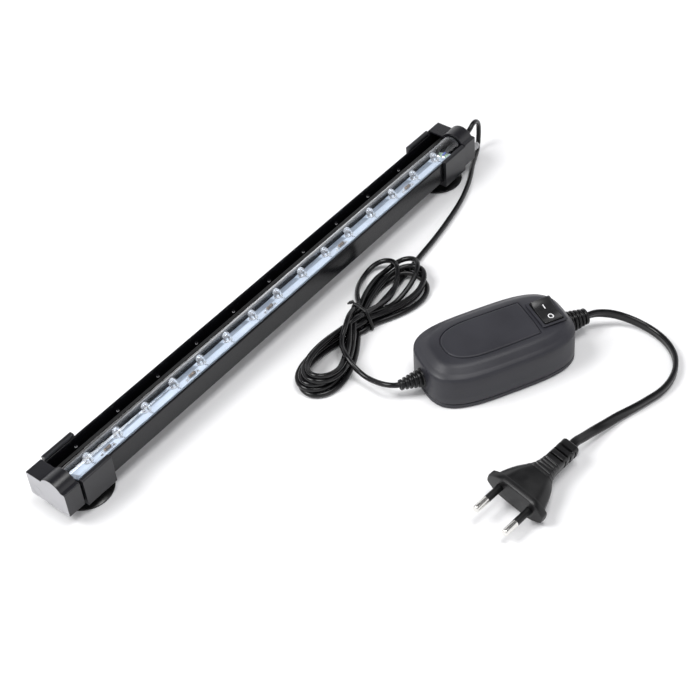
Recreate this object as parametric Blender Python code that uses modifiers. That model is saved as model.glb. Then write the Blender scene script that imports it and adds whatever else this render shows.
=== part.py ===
"""LED aquarium light: a bubble-curtain light bar on two suction cups, with its
low-voltage cord, in-line adapter with a rocker switch, and mains plug.

Metres, +Z up. X runs along the light bar towards its cord end, and the suction
cups stand on z = 0. Pieces of the bar are placed in the bar's own coordinates,
with x = 0 at the middle of its length.
"""

import math

import bmesh
import bpy
from mathutils import Matrix, Vector

MM = 0.001
GAP = 0.3 * MM  # kept between pieces that touch
MERGE = 0.01 * MM

# Light bar
BAR_LENGTH = 354.0 * MM
CAP_LENGTH = 10.6 * MM
CAP_WALL = 1.6 * MM
CAP_HALF = 14.2 * MM
CAP_BOTTOM = 7.8 * MM
CAP_TOP = 23.8 * MM
SHELL = 1.0 * MM  # cap side wall and roof
HOUSING_HALF = 12.9 * MM
HOUSING_LENGTH = 344.0 * MM
HOUSING_BOTTOM = 9.3 * MM
HOUSING_FLOOR = 10.7 * MM
LEFT_WALL_TOP = 22.1 * MM
RIGHT_WALL_TOP = 22.5 * MM

# Clear lamp tube, turned so that the LEDs lean towards the air curtain
TUBE_RADIUS = 7.0 * MM
TUBE_BORE = 6.1 * MM
TUBE_LENGTH = 343.0 * MM
TUBE_Y = -4.2 * MM
TUBE_Z = 19.5 * MM
LAMP_LEAN = math.radians(20)
LED_COUNT = 15
LED_PITCH = 21.3 * MM
LED_ROW_MIDDLE = -1.5 * MM
LED_RADIUS = 2.3 * MM
LED_HEIGHT = 5.2 * MM
LEDS_PER_STRING = 3
BOARD_START = -163.5 * MM
BOARD_END = 157.0 * MM
BOARD_WIDTH = 10.4 * MM
BOARD_TOP = -0.4 * MM
BOARD_THICKNESS = 1.2 * MM

# Air curtain
DUCT_Y = (6.9 * MM, 11.4 * MM)
DUCT_Z = (11.0 * MM, 18.8 * MM)
DUCT_WALL = 0.9 * MM
AIR_HOLES = 10
AIR_HOLE_PITCH = 30.7 * MM
AIR_HOLE_START = -147.5 * MM
AIR_HOLE_RADIUS = 0.5 * MM
NOZZLE_Y = -10.6 * MM
NOZZLE_Z = 11.7 * MM
NOZZLE_REACH = 8.0 * MM

# Brackets and suction cups
BRACKET_MIDDLE = 155.0 * MM
BRACKET_LENGTH = 20.4 * MM
BRACKET_HALF = 15.2 * MM
BRACKET_BOTTOM = 5.8 * MM
BRACKET_TOP = 24.3 * MM
CUP_RADIUS = 16.0 * MM
NECK_RADIUS = 2.0 * MM

# The assembly is moved along X so that the origin is midway between the near
# cap and the tip of the air nozzle.
ASSEMBLY_X = -NOZZLE_REACH / 2

# Adapter, in its own frame: u along it towards the mains cord, v across it
ADAPTER_AT = (39.4 * MM, -122.5 * MM)
ADAPTER_HEADING = math.radians(-28)
ADAPTER_LENGTH = 87.8 * MM
ADAPTER_WIDTH = 50.0 * MM
ADAPTER_SQUARENESS = 3.4  # superellipse exponent: 2 is an ellipse
ADAPTER_TOP = 24.9 * MM
ADAPTER_WALL = 2.0 * MM
BASE_HEIGHT = 2.8 * MM
SWITCH_U = 31.3 * MM
SWITCH_V = -0.5 * MM
BEZEL = (15.0 * MM, 21.0 * MM, 0.9 * MM)
ROCKER_WIDTH = 11.0 * MM
ROCKER_HALF = 8.1 * MM
ROCKER_LEAN = math.radians(6.5)
ROCKER_VALLEY = 2.2 * MM  # top of the rocker's middle above its pivot
OUTPUT_RELIEF_Z = 9.4 * MM
MAINS_RELIEF_Z = 10.4 * MM
RELIEF_LENGTH = 13.0 * MM
SCREWS = ((-33.0 * MM, 13.0 * MM), (-2.0 * MM, -15.5 * MM))
POST_TOP = 21.2 * MM

# Cords and plug
CORD_RADIUS = 1.5 * MM
MAINS_RADIUS = 2.1 * MM
HANK_TOP = 8.6 * MM
HANK_BOTTOM = 0.2 * MM
TIE_X = 22.5 * MM
PLUG_AT = (-40.9 * MM, -189.0 * MM)
PLUG_HEADING = math.radians(174.5)
PLUG_ROLL = math.radians(-11)
PLUG_MIDDLE_Z = 8.9 * MM
PIN_RADIUS = 2.0 * MM
PIN_LENGTH = 19.0 * MM
SLEEVE_LENGTH = 10.0 * MM
PIN_SPACING = 18.6 * MM


def clear_scene():
    for old in list(bpy.data.objects):
        bpy.data.objects.remove(old, do_unlink=True)


def new_collection(name):
    collection = bpy.data.collections.new(name)
    bpy.context.scene.collection.children.link(collection)
    return collection


def material(name, colour, roughness, metallic=0.0, transmission=0.0):
    made = bpy.data.materials.new(name)
    made.use_nodes = True
    shader = made.node_tree.nodes["Principled BSDF"]
    shader.inputs["Base Color"].default_value = (*colour, 1.0)
    shader.inputs["Roughness"].default_value = roughness
    shader.inputs["Metallic"].default_value = metallic
    shader.inputs["Transmission Weight"].default_value = transmission
    return made


clear_scene()
PARTS = new_collection("led_aquarium_light")
CUTTERS = new_collection("cutters")

GLOSS_BLACK = material("gloss_black", (0.012, 0.012, 0.014), 0.16)
RUBBER_BLACK = material("rubber_black", (0.015, 0.015, 0.016), 0.45)
MATTE_GREY = material("matte_grey", (0.045, 0.045, 0.052), 0.42)
CLEAR = material("clear_acrylic", (0.95, 0.97, 1.0), 0.03, transmission=1.0)
BOARD_WHITE = material("board_white", (0.72, 0.80, 0.90), 0.4)
BOARD_GREEN = material("board_green", (0.05, 0.22, 0.10), 0.45)
RESISTOR_TAN = material("resistor_tan", (0.55, 0.42, 0.28), 0.5)
NICKEL = material("nickel", (0.72, 0.70, 0.66), 0.22, metallic=1.0)
STEEL = material("steel", (0.55, 0.55, 0.56), 0.3, metallic=1.0)
WIRE_BLUE = material("wire_blue", (0.05, 0.10, 0.45), 0.4)
NOZZLE_GREY = material("nozzle_grey", (0.35, 0.35, 0.36), 0.4)
COPPER = material("copper", (0.60, 0.28, 0.15), 0.35, metallic=1.0)
FERRITE = material("ferrite", (0.06, 0.06, 0.06), 0.6)


def frame(name, location, rotation=(0.0, 0.0, 0.0), parent=None):
    empty = bpy.data.objects.new(name, None)
    PARTS.objects.link(empty)
    empty.location = location
    empty.rotation_euler = rotation
    empty.parent = parent
    return empty


ASSEMBLY = frame("assembly", (ASSEMBLY_X, 0, 0))
LAMP = frame("lamp_axis", (0, TUBE_Y, TUBE_Z), (-LAMP_LEAN, 0, 0), ASSEMBLY)
ADAPTER = frame("adapter_frame", (*ADAPTER_AT, 0), (0, 0, ADAPTER_HEADING), ASSEMBLY)
PLUG = frame("plug_frame", (*PLUG_AT, PLUG_MIDDLE_Z), (PLUG_ROLL, 0, PLUG_HEADING), ASSEMBLY)

ALONG_X = Matrix(((0, 0, 1), (1, 0, 0), (0, 1, 0))).to_4x4()  # outline in Y and Z
ALONG_Z = Matrix.Identity(4)  # outline in X and Y


def place(mesh, name, paint, parent, smooth=True):
    """A named piece from a mesh in its parent's coordinates; a cutter has no paint."""
    piece = bpy.data.objects.new(name, mesh)
    piece.parent = parent
    if paint is None:
        CUTTERS.objects.link(piece)
        piece.hide_render = True
        piece.display_type = "WIRE"
        return piece
    PARTS.objects.link(piece)
    mesh.materials.append(paint)
    if smooth:
        mesh.shade_smooth()
        mesh.set_sharp_from_angle(angle=math.radians(35))
    return piece


def mesh_of(source):
    """The evaluated mesh of a curve or modified object, welded; the source goes."""
    graph = bpy.context.evaluated_depsgraph_get()
    mesh = bpy.data.meshes.new_from_object(source.evaluated_get(graph))
    bm = bmesh.new()
    bm.from_mesh(mesh)
    bmesh.ops.remove_doubles(bm, verts=bm.verts, dist=MERGE)
    bmesh.ops.recalc_face_normals(bm, faces=bm.faces)
    bm.to_mesh(mesh)
    bm.free()
    bpy.data.objects.remove(source, do_unlink=True)
    return mesh


def extruded(name, outlines, low, high, paint, parent, turn=ALONG_Z):
    """Flat outlines, the first one outside and any other a hole, from low to high."""
    curve = bpy.data.curves.new(name + "_outline", "CURVE")
    curve.dimensions = "2D"
    curve.fill_mode = "BOTH"
    curve.extrude = (high - low) / 2
    for outline in outlines:
        spline = curve.splines.new("POLY")
        spline.points.add(len(outline) - 1)
        for point, (first, second) in zip(spline.points, outline):
            point.co = (first, second, 0, 1)
        spline.use_cyclic_u = True
    flat = bpy.data.objects.new(name + "_outline", curve)
    bpy.context.scene.collection.objects.link(flat)
    mesh = mesh_of(flat)
    mesh.transform(turn @ Matrix.Translation((0, 0, (low + high) / 2)))
    return place(mesh, name, paint, parent)


def lofted(name, rings, paint, parent):
    """A closed solid through rings of equally many points, with its two ends filled."""
    count = len(rings[0])
    faces = [list(range(count)), list(range((len(rings) - 1) * count, len(rings) * count))]
    for k in range(len(rings) - 1):
        for i in range(count):
            j = (i + 1) % count
            faces.append([k * count + i, k * count + j, (k + 1) * count + j, (k + 1) * count + i])
    mesh = bpy.data.meshes.new(name)
    mesh.from_pydata([point for ring in rings for point in ring], [], faces)
    bm = bmesh.new()
    bm.from_mesh(mesh)
    bmesh.ops.recalc_face_normals(bm, faces=bm.faces)
    bm.to_mesh(mesh)
    bm.free()
    return place(mesh, name, paint, parent)


def turned(name, profile, paint, parent, at=(0, 0, 0), turn=(0, 0, 0), steps=24, ring=False):
    """A profile of (radius, height) points, top to bottom, turned about its own Z."""
    mesh = bpy.data.meshes.new(name)
    points = [(radius, 0, height) for radius, height in profile]
    edges = [(i, i + 1) for i in range(len(points) - 1)]
    if ring:
        edges.append((len(points) - 1, 0))
    mesh.from_pydata(points, edges, [])
    source = bpy.data.objects.new(name + "_profile", mesh)
    bpy.context.scene.collection.objects.link(source)
    screw = source.modifiers.new("turn", "SCREW")
    screw.steps = steps
    screw.render_steps = steps
    screw.use_merge_vertices = True
    screw.merge_threshold = MERGE
    screw.use_smooth_shade = True
    piece = place(mesh_of(source), name, paint, parent)
    piece.location = at
    piece.rotation_euler = turn
    return piece


TOWARDS_X = (0, math.pi / 2, 0)  # turns a piece's own Z onto +X
TOWARDS_MINUS_X = (0, -math.pi / 2, 0)


def box(name, low, high, paint, parent, bevel=0.0):
    """A box between two corners, its edges rounded when bevel is given."""
    mesh = bpy.data.meshes.new(name)
    bm = bmesh.new()
    size = [top - bottom for bottom, top in zip(low, high)]
    middle = [(top + bottom) / 2 for bottom, top in zip(low, high)]
    placing = Matrix.Translation(middle) @ Matrix.Diagonal((*size, 1))
    bmesh.ops.create_cube(bm, size=1, matrix=placing)
    bm.to_mesh(mesh)
    bm.free()
    piece = place(mesh, name, paint, parent)
    if bevel:
        round_edges(piece, bevel, 2)
    return piece


def rod(name, start, radius, length, paint, parent, turn=(0, 0, 0), steps=20):
    """A plain cylinder from start along its turned Z."""
    profile = ((0, length), (radius, length), (radius, 0), (0, 0))
    return turned(name, profile, paint, parent, start, turn, steps)


def round_edges(piece, width, segments, angle=math.radians(40)):
    bevel = piece.modifiers.new("round", "BEVEL")
    bevel.width = width
    bevel.segments = segments
    bevel.limit_method = "ANGLE"
    bevel.angle_limit = angle
    bevel.use_clamp_overlap = True


def combine(piece, others, operation="DIFFERENCE"):
    for other in others:
        modifier = piece.modifiers.new(other.name, "BOOLEAN")
        modifier.operation = operation
        modifier.solver = "EXACT"
        modifier.object = other


def arc(centre, radius, start, end, steps):
    """Points on an arc; angles in radians, counter-clockwise when end > start."""
    points = []
    for i in range(steps + 1):
        angle = start + (end - start) * i / steps
        points.append((centre[0] + radius * math.cos(angle), centre[1] + radius * math.sin(angle)))
    return points


def rounded_rectangle(half_u, half_v, radius, steps=6):
    points = []
    for quarter, (su, sv) in enumerate(((1, 1), (-1, 1), (-1, -1), (1, -1))):
        centre = (su * (half_u - radius), sv * (half_v - radius))
        start = quarter * math.pi / 2
        points += arc(centre, radius, start, start + math.pi / 2, steps)
    return points


def smooth_route(route, spacing):
    """Evenly spaced points on a Catmull-Rom curve through the route's points."""
    knots = [Vector(p) * MM for p in route]
    knots = [2 * knots[0] - knots[1], *knots, 2 * knots[-1] - knots[-2]]
    dense = []
    for p0, p1, p2, p3 in zip(knots, knots[1:], knots[2:], knots[3:]):
        for i in range(40):
            t = i / 40
            turn = (2 * p0 - 5 * p1 + 4 * p2 - p3) * t * t + (3 * p1 - p0 - 3 * p2 + p3) * t**3
            dense.append((2 * p1 + (p2 - p0) * t + turn) / 2)
    dense.append(knots[-2])
    total = sum((b - a).length for a, b in zip(dense, dense[1:]))
    count = max(2, round(total / spacing))
    points = [dense[0]]
    travelled = 0.0
    for a, b in zip(dense, dense[1:]):
        travelled += (b - a).length
        if travelled >= total * len(points) / count and len(points) < count:
            points.append(b)
    points.append(dense[-1])
    return points


def tube(name, points, radius, paint, parent):
    curve = bpy.data.curves.new(name, "CURVE")
    curve.dimensions = "3D"
    curve.bevel_depth = radius
    curve.bevel_resolution = 2
    curve.use_fill_caps = True
    spline = curve.splines.new("POLY")
    spline.points.add(len(points) - 1)
    for point, place_at in zip(spline.points, points):
        point.co = (*place_at, 1)
    piece = bpy.data.objects.new(name, curve)
    piece.parent = parent
    PARTS.objects.link(piece)
    curve.materials.append(paint)
    return piece


# ---------------------------------------------------------------- light bar


def housing():
    """Black channel: bay for the air duct on the left, trough for the lamp on the right."""
    left, right = HOUSING_HALF, -HOUSING_HALF
    left_in, right_in = 11.7 * MM, -11.5 * MM
    rib_left, rib_right, rib_top = 6.6 * MM, 3.3 * MM, 20.1 * MM
    lip = 0.5 * MM
    outline = [
        (right, HOUSING_BOTTOM),
        (left, HOUSING_BOTTOM),
        (left, LEFT_WALL_TOP - lip),
        (left - lip / 2, LEFT_WALL_TOP),
        (left_in + lip / 2, LEFT_WALL_TOP),
        (left_in, LEFT_WALL_TOP - lip),
        (left_in, HOUSING_FLOOR),
        (rib_left, HOUSING_FLOOR),
        (rib_left, rib_top - lip),
        (rib_left - lip, rib_top),
        (rib_right, rib_top),
        (rib_right, HOUSING_FLOOR),
        (right_in, HOUSING_FLOOR),
        (right_in, RIGHT_WALL_TOP - lip),
        (right_in - lip / 2, RIGHT_WALL_TOP),
        (right + lip / 2, RIGHT_WALL_TOP),
        (right, RIGHT_WALL_TOP - lip),
    ]
    rib_hollow = [
        (rib_left - SHELL, HOUSING_FLOOR + SHELL),
        (rib_left - SHELL, rib_top - SHELL),
        (rib_right + SHELL, rib_top - SHELL),
        (rib_right + SHELL, HOUSING_FLOOR + SHELL),
    ]
    half = HOUSING_LENGTH / 2
    extruded("housing", [outline, rib_hollow], -half, half, GLOSS_BLACK, ASSEMBLY, ALONG_X)


def air_duct():
    """Hollow strip beside the lamp, with a row of fine holes along its top."""
    (right, left), (low, high) = DUCT_Y, DUCT_Z
    outer = [(left, low), (left, high), (right, high), (right, low)]
    wall = DUCT_WALL
    inner = [(left - wall, low + wall), (left - wall, high - wall)]
    inner += [(right + wall, high - wall), (right + wall, low + wall)]
    half = HOUSING_LENGTH / 2
    duct = extruded("air_duct", [outer, inner], -half, half, GLOSS_BLACK, ASSEMBLY, ALONG_X)
    holes = []
    for i in range(AIR_HOLES):
        at = (AIR_HOLE_START + i * AIR_HOLE_PITCH, (left + right) / 2, high - 2 * wall)
        name = f"air_hole_{i + 1:02d}"
        holes.append(rod(name, at, AIR_HOLE_RADIUS, 4 * wall, None, ASSEMBLY, steps=8))
    combine(duct, holes)


def arched_outline(half, bottom, top, radius):
    """A box section with an arch of the given radius over the lamp tube."""
    rise = math.asin((top - TUBE_Z) / radius)
    points = [(half, bottom), (half, top)]
    points += arc((TUBE_Y, TUBE_Z), radius, rise, math.pi - rise, 14)
    return points + [(-half, top), (-half, bottom)]


def end_cap(name, side):
    """Moulded cap over one end of the bar, with a pocket for the housing and the tube."""
    outer_face = side * BAR_LENGTH / 2
    mouth = outer_face - side * CAP_LENGTH
    floor = outer_face - side * CAP_WALL
    outline = arched_outline(CAP_HALF, CAP_BOTTOM, CAP_TOP, 8.5 * MM)
    low, high = sorted((outer_face, mouth))
    cap = extruded(name, [outline], low, high, GLOSS_BLACK, ASSEMBLY, ALONG_X)
    half = HOUSING_HALF + GAP
    pocket = arched_outline(half, HOUSING_BOTTOM - GAP, RIGHT_WALL_TOP + GAP, 7.4 * MM)
    low, high = sorted((floor, mouth - side * 5 * MM))
    hollow = extruded(name + "_pocket", [pocket], low, high, None, ASSEMBLY, ALONG_X)
    return cap, hollow


def caps():
    near_cap, near_hollow = end_cap("near_end_cap", -1)
    combine(near_cap, [near_hollow])
    far_cap, far_hollow = end_cap("far_end_cap", 1)
    inside = BAR_LENGTH / 2 - 3 * CAP_WALL
    gland_at = (inside, TUBE_Y, TUBE_Z)
    gland_hole = rod("gland_hole", gland_at, 2.9 * MM, 8 * MM, None, ASSEMBLY, TOWARDS_X)
    nozzle_at = (inside, NOZZLE_Y, NOZZLE_Z)
    nozzle_hole = rod("nozzle_hole", nozzle_at, 2.3 * MM, 8 * MM, None, ASSEMBLY, TOWARDS_X)
    combine(far_cap, [far_hollow, gland_hole, nozzle_hole])


def cord_gland():
    """Rubber grommet that the lamp cord comes out of."""
    bore = CORD_RADIUS + GAP
    profile = [
        (bore, 5.5 * MM),
        (2.5 * MM, 5.5 * MM),
        (3.3 * MM, 2.0 * MM),
        (3.6 * MM, 0.3 * MM),
        (2.6 * MM, 0.3 * MM),
        (2.6 * MM, -1.9 * MM),
        (3.6 * MM, -1.9 * MM),
        (3.4 * MM, -3.0 * MM),
        (bore, -3.0 * MM),
    ]
    at = (BAR_LENGTH / 2, TUBE_Y, TUBE_Z)
    turned("cord_gland", profile, RUBBER_BLACK, ASSEMBLY, at, TOWARDS_X, ring=True)


def air_nozzle():
    """Barbed inlet for a 4 mm air hose, open through to the far cap's chamber."""
    bore = 1.1 * MM
    tip = NOZZLE_REACH
    profile = [
        (bore, tip),
        (1.6 * MM, tip),
        (2.2 * MM, tip - 1.8 * MM),
        (1.8 * MM, tip - 2.0 * MM),
        (2.2 * MM, tip - 4.0 * MM),
        (1.8 * MM, tip - 4.2 * MM),
        (1.8 * MM, 1.2 * MM),
        (2.8 * MM, 1.2 * MM),
        (2.8 * MM, 0.3 * MM),
        (2.0 * MM, 0.3 * MM),
        (2.0 * MM, -2.6 * MM),
        (bore, -2.6 * MM),
    ]
    at = (BAR_LENGTH / 2, NOZZLE_Y, NOZZLE_Z)
    turned("air_nozzle", profile, NOZZLE_GREY, ASSEMBLY, at, TOWARDS_X, ring=True)


def bracket(name, x):
    """U-shaped clip around the housing, with a keyed floor for the suction cup's stud."""
    inner = HOUSING_HALF + GAP
    hook = 11.9 * MM
    hook_low = RIGHT_WALL_TOP + GAP
    ledge = HOUSING_BOTTOM - GAP
    channel, channel_floor = 9.0 * MM, 7.2 * MM
    one_side = [
        (BRACKET_HALF, BRACKET_BOTTOM),
        (BRACKET_HALF, BRACKET_TOP - 0.6 * MM),
        (BRACKET_HALF - 0.6 * MM, BRACKET_TOP),
        (hook + 0.5 * MM, BRACKET_TOP),
        (hook, hook_low + 0.5 * MM),
        (hook, hook_low),
        (inner, hook_low),
        (inner, ledge),
        (channel, ledge),
        (channel, channel_floor),
    ]
    outline = one_side + [(-y, z) for y, z in reversed(one_side)]
    low, high = x - BRACKET_LENGTH / 2, x + BRACKET_LENGTH / 2
    piece = extruded(name, [outline], low, high, GLOSS_BLACK, ASSEMBLY, ALONG_X)
    hole_at = (x, 0, BRACKET_BOTTOM - MM)
    hole = rod(name + "_hole", hole_at, NECK_RADIUS + GAP, 4 * MM, None, ASSEMBLY)
    combine(piece, [hole])


def suction_cup(name, x):
    """Soft cup with a flat rim on the glass and a mushroom stud above it."""
    profile = [
        (0, 9.0 * MM),
        (2.4 * MM, 9.0 * MM),
        (3.4 * MM, 8.2 * MM),
        (3.4 * MM, 7.5 * MM),
        (NECK_RADIUS, 7.5 * MM),
        (NECK_RADIUS, 5.5 * MM),
        (5.0 * MM, 5.5 * MM),
        (5.4 * MM, 4.6 * MM),
        (9.5 * MM, 3.3 * MM),
        (13.0 * MM, 1.7 * MM),
        (CUP_RADIUS, 0.8 * MM),
        (CUP_RADIUS, 0),
        (13.5 * MM, 0),
        (9.0 * MM, 1.2 * MM),
        (5.0 * MM, 2.2 * MM),
        (0, 2.6 * MM),
    ]
    turned(name, profile, RUBBER_BLACK, ASSEMBLY, (x, 0, 0), steps=32)


# --------------------------------------------------------------------- lamp


def lamp_tube():
    half = TUBE_LENGTH / 2
    profile = [(TUBE_BORE, half), (TUBE_RADIUS, half), (TUBE_RADIUS, -half), (TUBE_BORE, -half)]
    turned("lamp_tube", profile, CLEAR, LAMP, turn=TOWARDS_X, steps=36, ring=True)


def tube_plugs():
    """Rubber plugs that seal the tube: a blind one, and one that the cord runs through."""
    half = TUBE_LENGTH / 2
    stem, flange = TUBE_BORE - GAP, 6.8 * MM
    outside = [(flange - 0.6 * MM, 1.9 * MM), (flange, 1.3 * MM), (flange, GAP)]
    inside = [(stem, GAP), (stem, -5.5 * MM), (stem - 0.5 * MM, -6.0 * MM)]
    blind = [(0, 1.9 * MM), *outside, *inside, (0, -6.0 * MM)]
    at = (-half, 0, 0)
    turned("near_tube_plug", blind, RUBBER_BLACK, LAMP, at, TOWARDS_MINUS_X)
    bore = CORD_RADIUS + GAP
    bored = [(bore, 1.9 * MM), *outside, *inside, (bore, -6.0 * MM)]
    turned("far_tube_plug", bored, RUBBER_BLACK, LAMP, (half, 0, 0), TOWARDS_X, ring=True)


def led_board():
    low = (BOARD_START, -BOARD_WIDTH / 2, BOARD_TOP - BOARD_THICKNESS)
    box("led_board", low, (BOARD_END, BOARD_WIDTH / 2, BOARD_TOP), BOARD_WHITE, LAMP)


def led_x(index):
    return LED_ROW_MIDDLE + (index - (LED_COUNT - 1) / 2) * LED_PITCH


def leds():
    """Clear round-topped LEDs in one row along the board."""
    shoulder = LED_HEIGHT - LED_RADIUS
    dome = arc((0, shoulder), LED_RADIUS, math.pi / 2, 0, 3)
    flange = LED_RADIUS + 0.35 * MM
    profile = [*dome, (LED_RADIUS, 0.9 * MM), (flange, 0.8 * MM), (flange, 0), (0, 0)]
    profile[0] = (0, LED_HEIGHT)
    for i in range(LED_COUNT):
        at = (led_x(i), 0, BOARD_TOP + GAP)
        turned(f"led_{i + 1:02d}", profile, CLEAR, LAMP, at, steps=12)


def resistors():
    """One dropper resistor for each string of three LEDs, lying along the board's edge."""
    body, lead = 0.95 * MM, 0.3 * MM
    lead_end, body_end = 4.4 * MM, 2.4 * MM
    half = [(0, lead_end), (lead, lead_end), (lead, body_end), (body, 2.1 * MM)]
    profile = half + [(body * 0.85, 1.3 * MM), (body * 0.85, -1.3 * MM)]
    profile += [(radius, -height) for radius, height in reversed(half)]
    for i in range(LED_COUNT // LEDS_PER_STRING):
        x = led_x(i * LEDS_PER_STRING) + LED_PITCH / 2
        at = (x, -3.3 * MM, BOARD_TOP + GAP + body)
        turned(f"resistor_{i + 1}", profile, RESISTOR_TAN, LAMP, at, TOWARDS_X, steps=10)


def lead_wires():
    """The two wires from the board's far end to the cord in the tube plug."""
    blue = [(152.6, -2.4, 0.7), (155.5, -2.7, 1.0), (159, -2.4, 1.6), (162, -1.3, 1.3), (165.1, -0.7, 0.7)]
    black = [(152.6, 2.2, 0.7), (156, 2.2, 1.9), (159.5, 2.0, 2.5), (162.5, 1.3, 1.6)]
    black.append((165.1, 0.7, 0.4))
    tube("lead_wire_blue", smooth_route(blue, 1.4 * MM), 0.55 * MM, WIRE_BLUE, LAMP)
    tube("lead_wire_black", smooth_route(black, 1.4 * MM), 0.55 * MM, RUBBER_BLACK, LAMP)


# ------------------------------------------------------------------ adapter


def adapter_ring(height, inset=0.0, end_inset=None):
    """The adapter's bowed plan outline at a height, drawn in; its switch end may differ."""
    end = inset if end_inset is None else end_inset
    half_u = (ADAPTER_LENGTH - inset - end) / 2
    half_v = ADAPTER_WIDTH / 2 - inset
    shift = (inset - end) / 2
    power = 2 / ADAPTER_SQUARENESS
    ring = []
    for i in range(40):
        angle = math.tau * (i + 0.5) / 40
        c, s = math.cos(angle), math.sin(angle)
        u = math.copysign(half_u * abs(c) ** power, c) + shift
        ring.append((u, math.copysign(half_v * abs(s) ** power, s), height))
    return ring


def cover_rings(levels):
    return [adapter_ring(z * MM, inset * MM, end * MM) for z, inset, end in levels]


def adapter_cover():
    """Upper shell with a crowned roof, openings for the switch and cords, and screw posts."""
    bottom = BASE_HEIGHT + GAP
    outside = [(bottom / MM, 0, 0), (18.6, 0.2, 0.2), (20.2, 0.9, 0.7), (21.2, 2.2, 1.6)]
    outside += [(23.9, 6.6, 4.0), (24.6, 8.4, 5.2), (ADAPTER_TOP / MM, 10.4, 6.6)]
    cover = lofted("adapter_cover", cover_rings(outside), MATTE_GREY, ADAPTER)
    inside = [(0, 2.0, 2.0), (17.4, 2.2, 2.2), (19.0, 3.2, 3.0), (22.4, 8.2, 5.8)]
    inside += [((ADAPTER_TOP - ADAPTER_WALL) / MM, 10.4, 7.6)]
    hollow = lofted("cover_hollow", cover_rings(inside), None, ADAPTER)
    slot_u, slot_v = BEZEL[0] / 2 - 0.7 * MM, BEZEL[1] / 2 - 0.5 * MM
    low = (SWITCH_U - slot_u, SWITCH_V - slot_v, 18 * MM)
    high = (SWITCH_U + slot_u, SWITCH_V + slot_v, ADAPTER_TOP + MM)
    slot = box("switch_slot", low, high, None, ADAPTER)
    end = ADAPTER_LENGTH / 2 - 6 * MM
    output_at = (-end, 0, OUTPUT_RELIEF_Z)
    mains_at = (end, 0, MAINS_RELIEF_Z)
    output = rod("output_hole", output_at, 3.9 * MM, 9 * MM, None, ADAPTER, TOWARDS_MINUS_X)
    mains = rod("mains_hole", mains_at, 4.3 * MM, 9 * MM, None, ADAPTER, TOWARDS_X)
    combine(cover, [hollow, slot, output, mains])
    posts = []
    holes = []
    for i, (u, v) in enumerate(SCREWS):
        post_at = (u, v, bottom)
        posts.append(rod(f"post_{i + 1}", post_at, 3.2 * MM, POST_TOP - bottom, None, ADAPTER))
        hole_at = (u, v, bottom - MM)
        holes.append(rod(f"post_hole_{i + 1}", hole_at, 1.6 * MM, 12 * MM, None, ADAPTER))
    combine(cover, posts, "UNION")
    combine(cover, holes)


def adapter_base():
    """Flat lower cover with countersunk screw holes and two rails for the board."""
    levels = [(0, 0.6, 0.6), (0.6, 0, 0), (BASE_HEIGHT / MM, 0, 0)]
    base = lofted("adapter_base", cover_rings(levels), MATTE_GREY, ADAPTER)
    rails = []
    for side in (-1, 1):
        low = (-34 * MM, side * 8 * MM - MM, BASE_HEIGHT - MM)
        high = (22 * MM, side * 8 * MM + MM, BASE_HEIGHT + 1.7 * MM)
        rails.append(box(f"rail_{side}", low, high, None, ADAPTER))
    combine(base, rails, "UNION")
    cuts = []
    for i, (u, v) in enumerate(SCREWS):
        shaft_at = (u, v, -MM)
        cuts.append(rod(f"screw_hole_{i + 1}", shaft_at, 1.6 * MM, 6 * MM, None, ADAPTER))
        cuts.append(rod(f"head_hole_{i + 1}", shaft_at, 3.1 * MM, 2.7 * MM, None, ADAPTER))
    combine(base, cuts)


def base_screws():
    """Screws that hold the lower cover to the posts, their heads sunk into it."""
    profile = [
        (0, 11.0 * MM),
        (0.7 * MM, 11.0 * MM),
        (1.3 * MM, 9.8 * MM),
        (1.3 * MM, 1.4 * MM),
        (2.7 * MM, 1.4 * MM),
        (2.7 * MM, 0.5 * MM),
        (2.2 * MM, 0.2 * MM),
        (0, 0.2 * MM),
    ]
    for i, (u, v) in enumerate(SCREWS):
        turned(f"base_screw_{i + 1}", profile, STEEL, ADAPTER, (u, v, 0), steps=16)


def adapter_electronics():
    """The power supply inside: board, transformer, two capacitors and a fuse."""
    board_low, board_high = BASE_HEIGHT + 2.0 * MM, BASE_HEIGHT + 3.6 * MM
    board = box("adapter_board", (-36 * MM, -11.5 * MM, board_low), (24 * MM, 11.5 * MM, board_high),
                BOARD_GREEN, ADAPTER)
    notch_at = (SCREWS[0][0], SCREWS[0][1], 0)
    notch = rod("board_notch", notch_at, 4.2 * MM, 10 * MM, None, ADAPTER)
    combine(board, [notch])
    top = board_high + GAP
    low = (-16 * MM, -9 * MM, top)
    core = box("transformer_core", low, (4 * MM, 9 * MM, top + 13 * MM), FERRITE, ADAPTER)
    window = (-12.5 * MM, -10 * MM, top + 3 * MM)
    combine(core, [box("core_window", window, (0.5 * MM, 10 * MM, top + 10 * MM), None, ADAPTER)])
    low = (-12.2 * MM, -10.5 * MM, top + 3.3 * MM)
    high = (0.2 * MM, 10.5 * MM, top + 9.7 * MM)
    box("transformer_winding", low, high, COPPER, ADAPTER, bevel=1.2 * MM)
    can = [(0, 1), (0.85, 1), (1, 0.96), (1, 0), (0, 0)]
    for name, at, radius, height in (
        ("input_capacitor", (12 * MM, 3 * MM, top), 5.0 * MM, 14 * MM),
        ("output_capacitor", (-25 * MM, -4 * MM, top), 4.0 * MM, 11 * MM),
    ):
        profile = [(r * radius, h * height) for r, h in can]
        turned(name, profile, GLOSS_BLACK, ADAPTER, at, steps=20)


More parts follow.
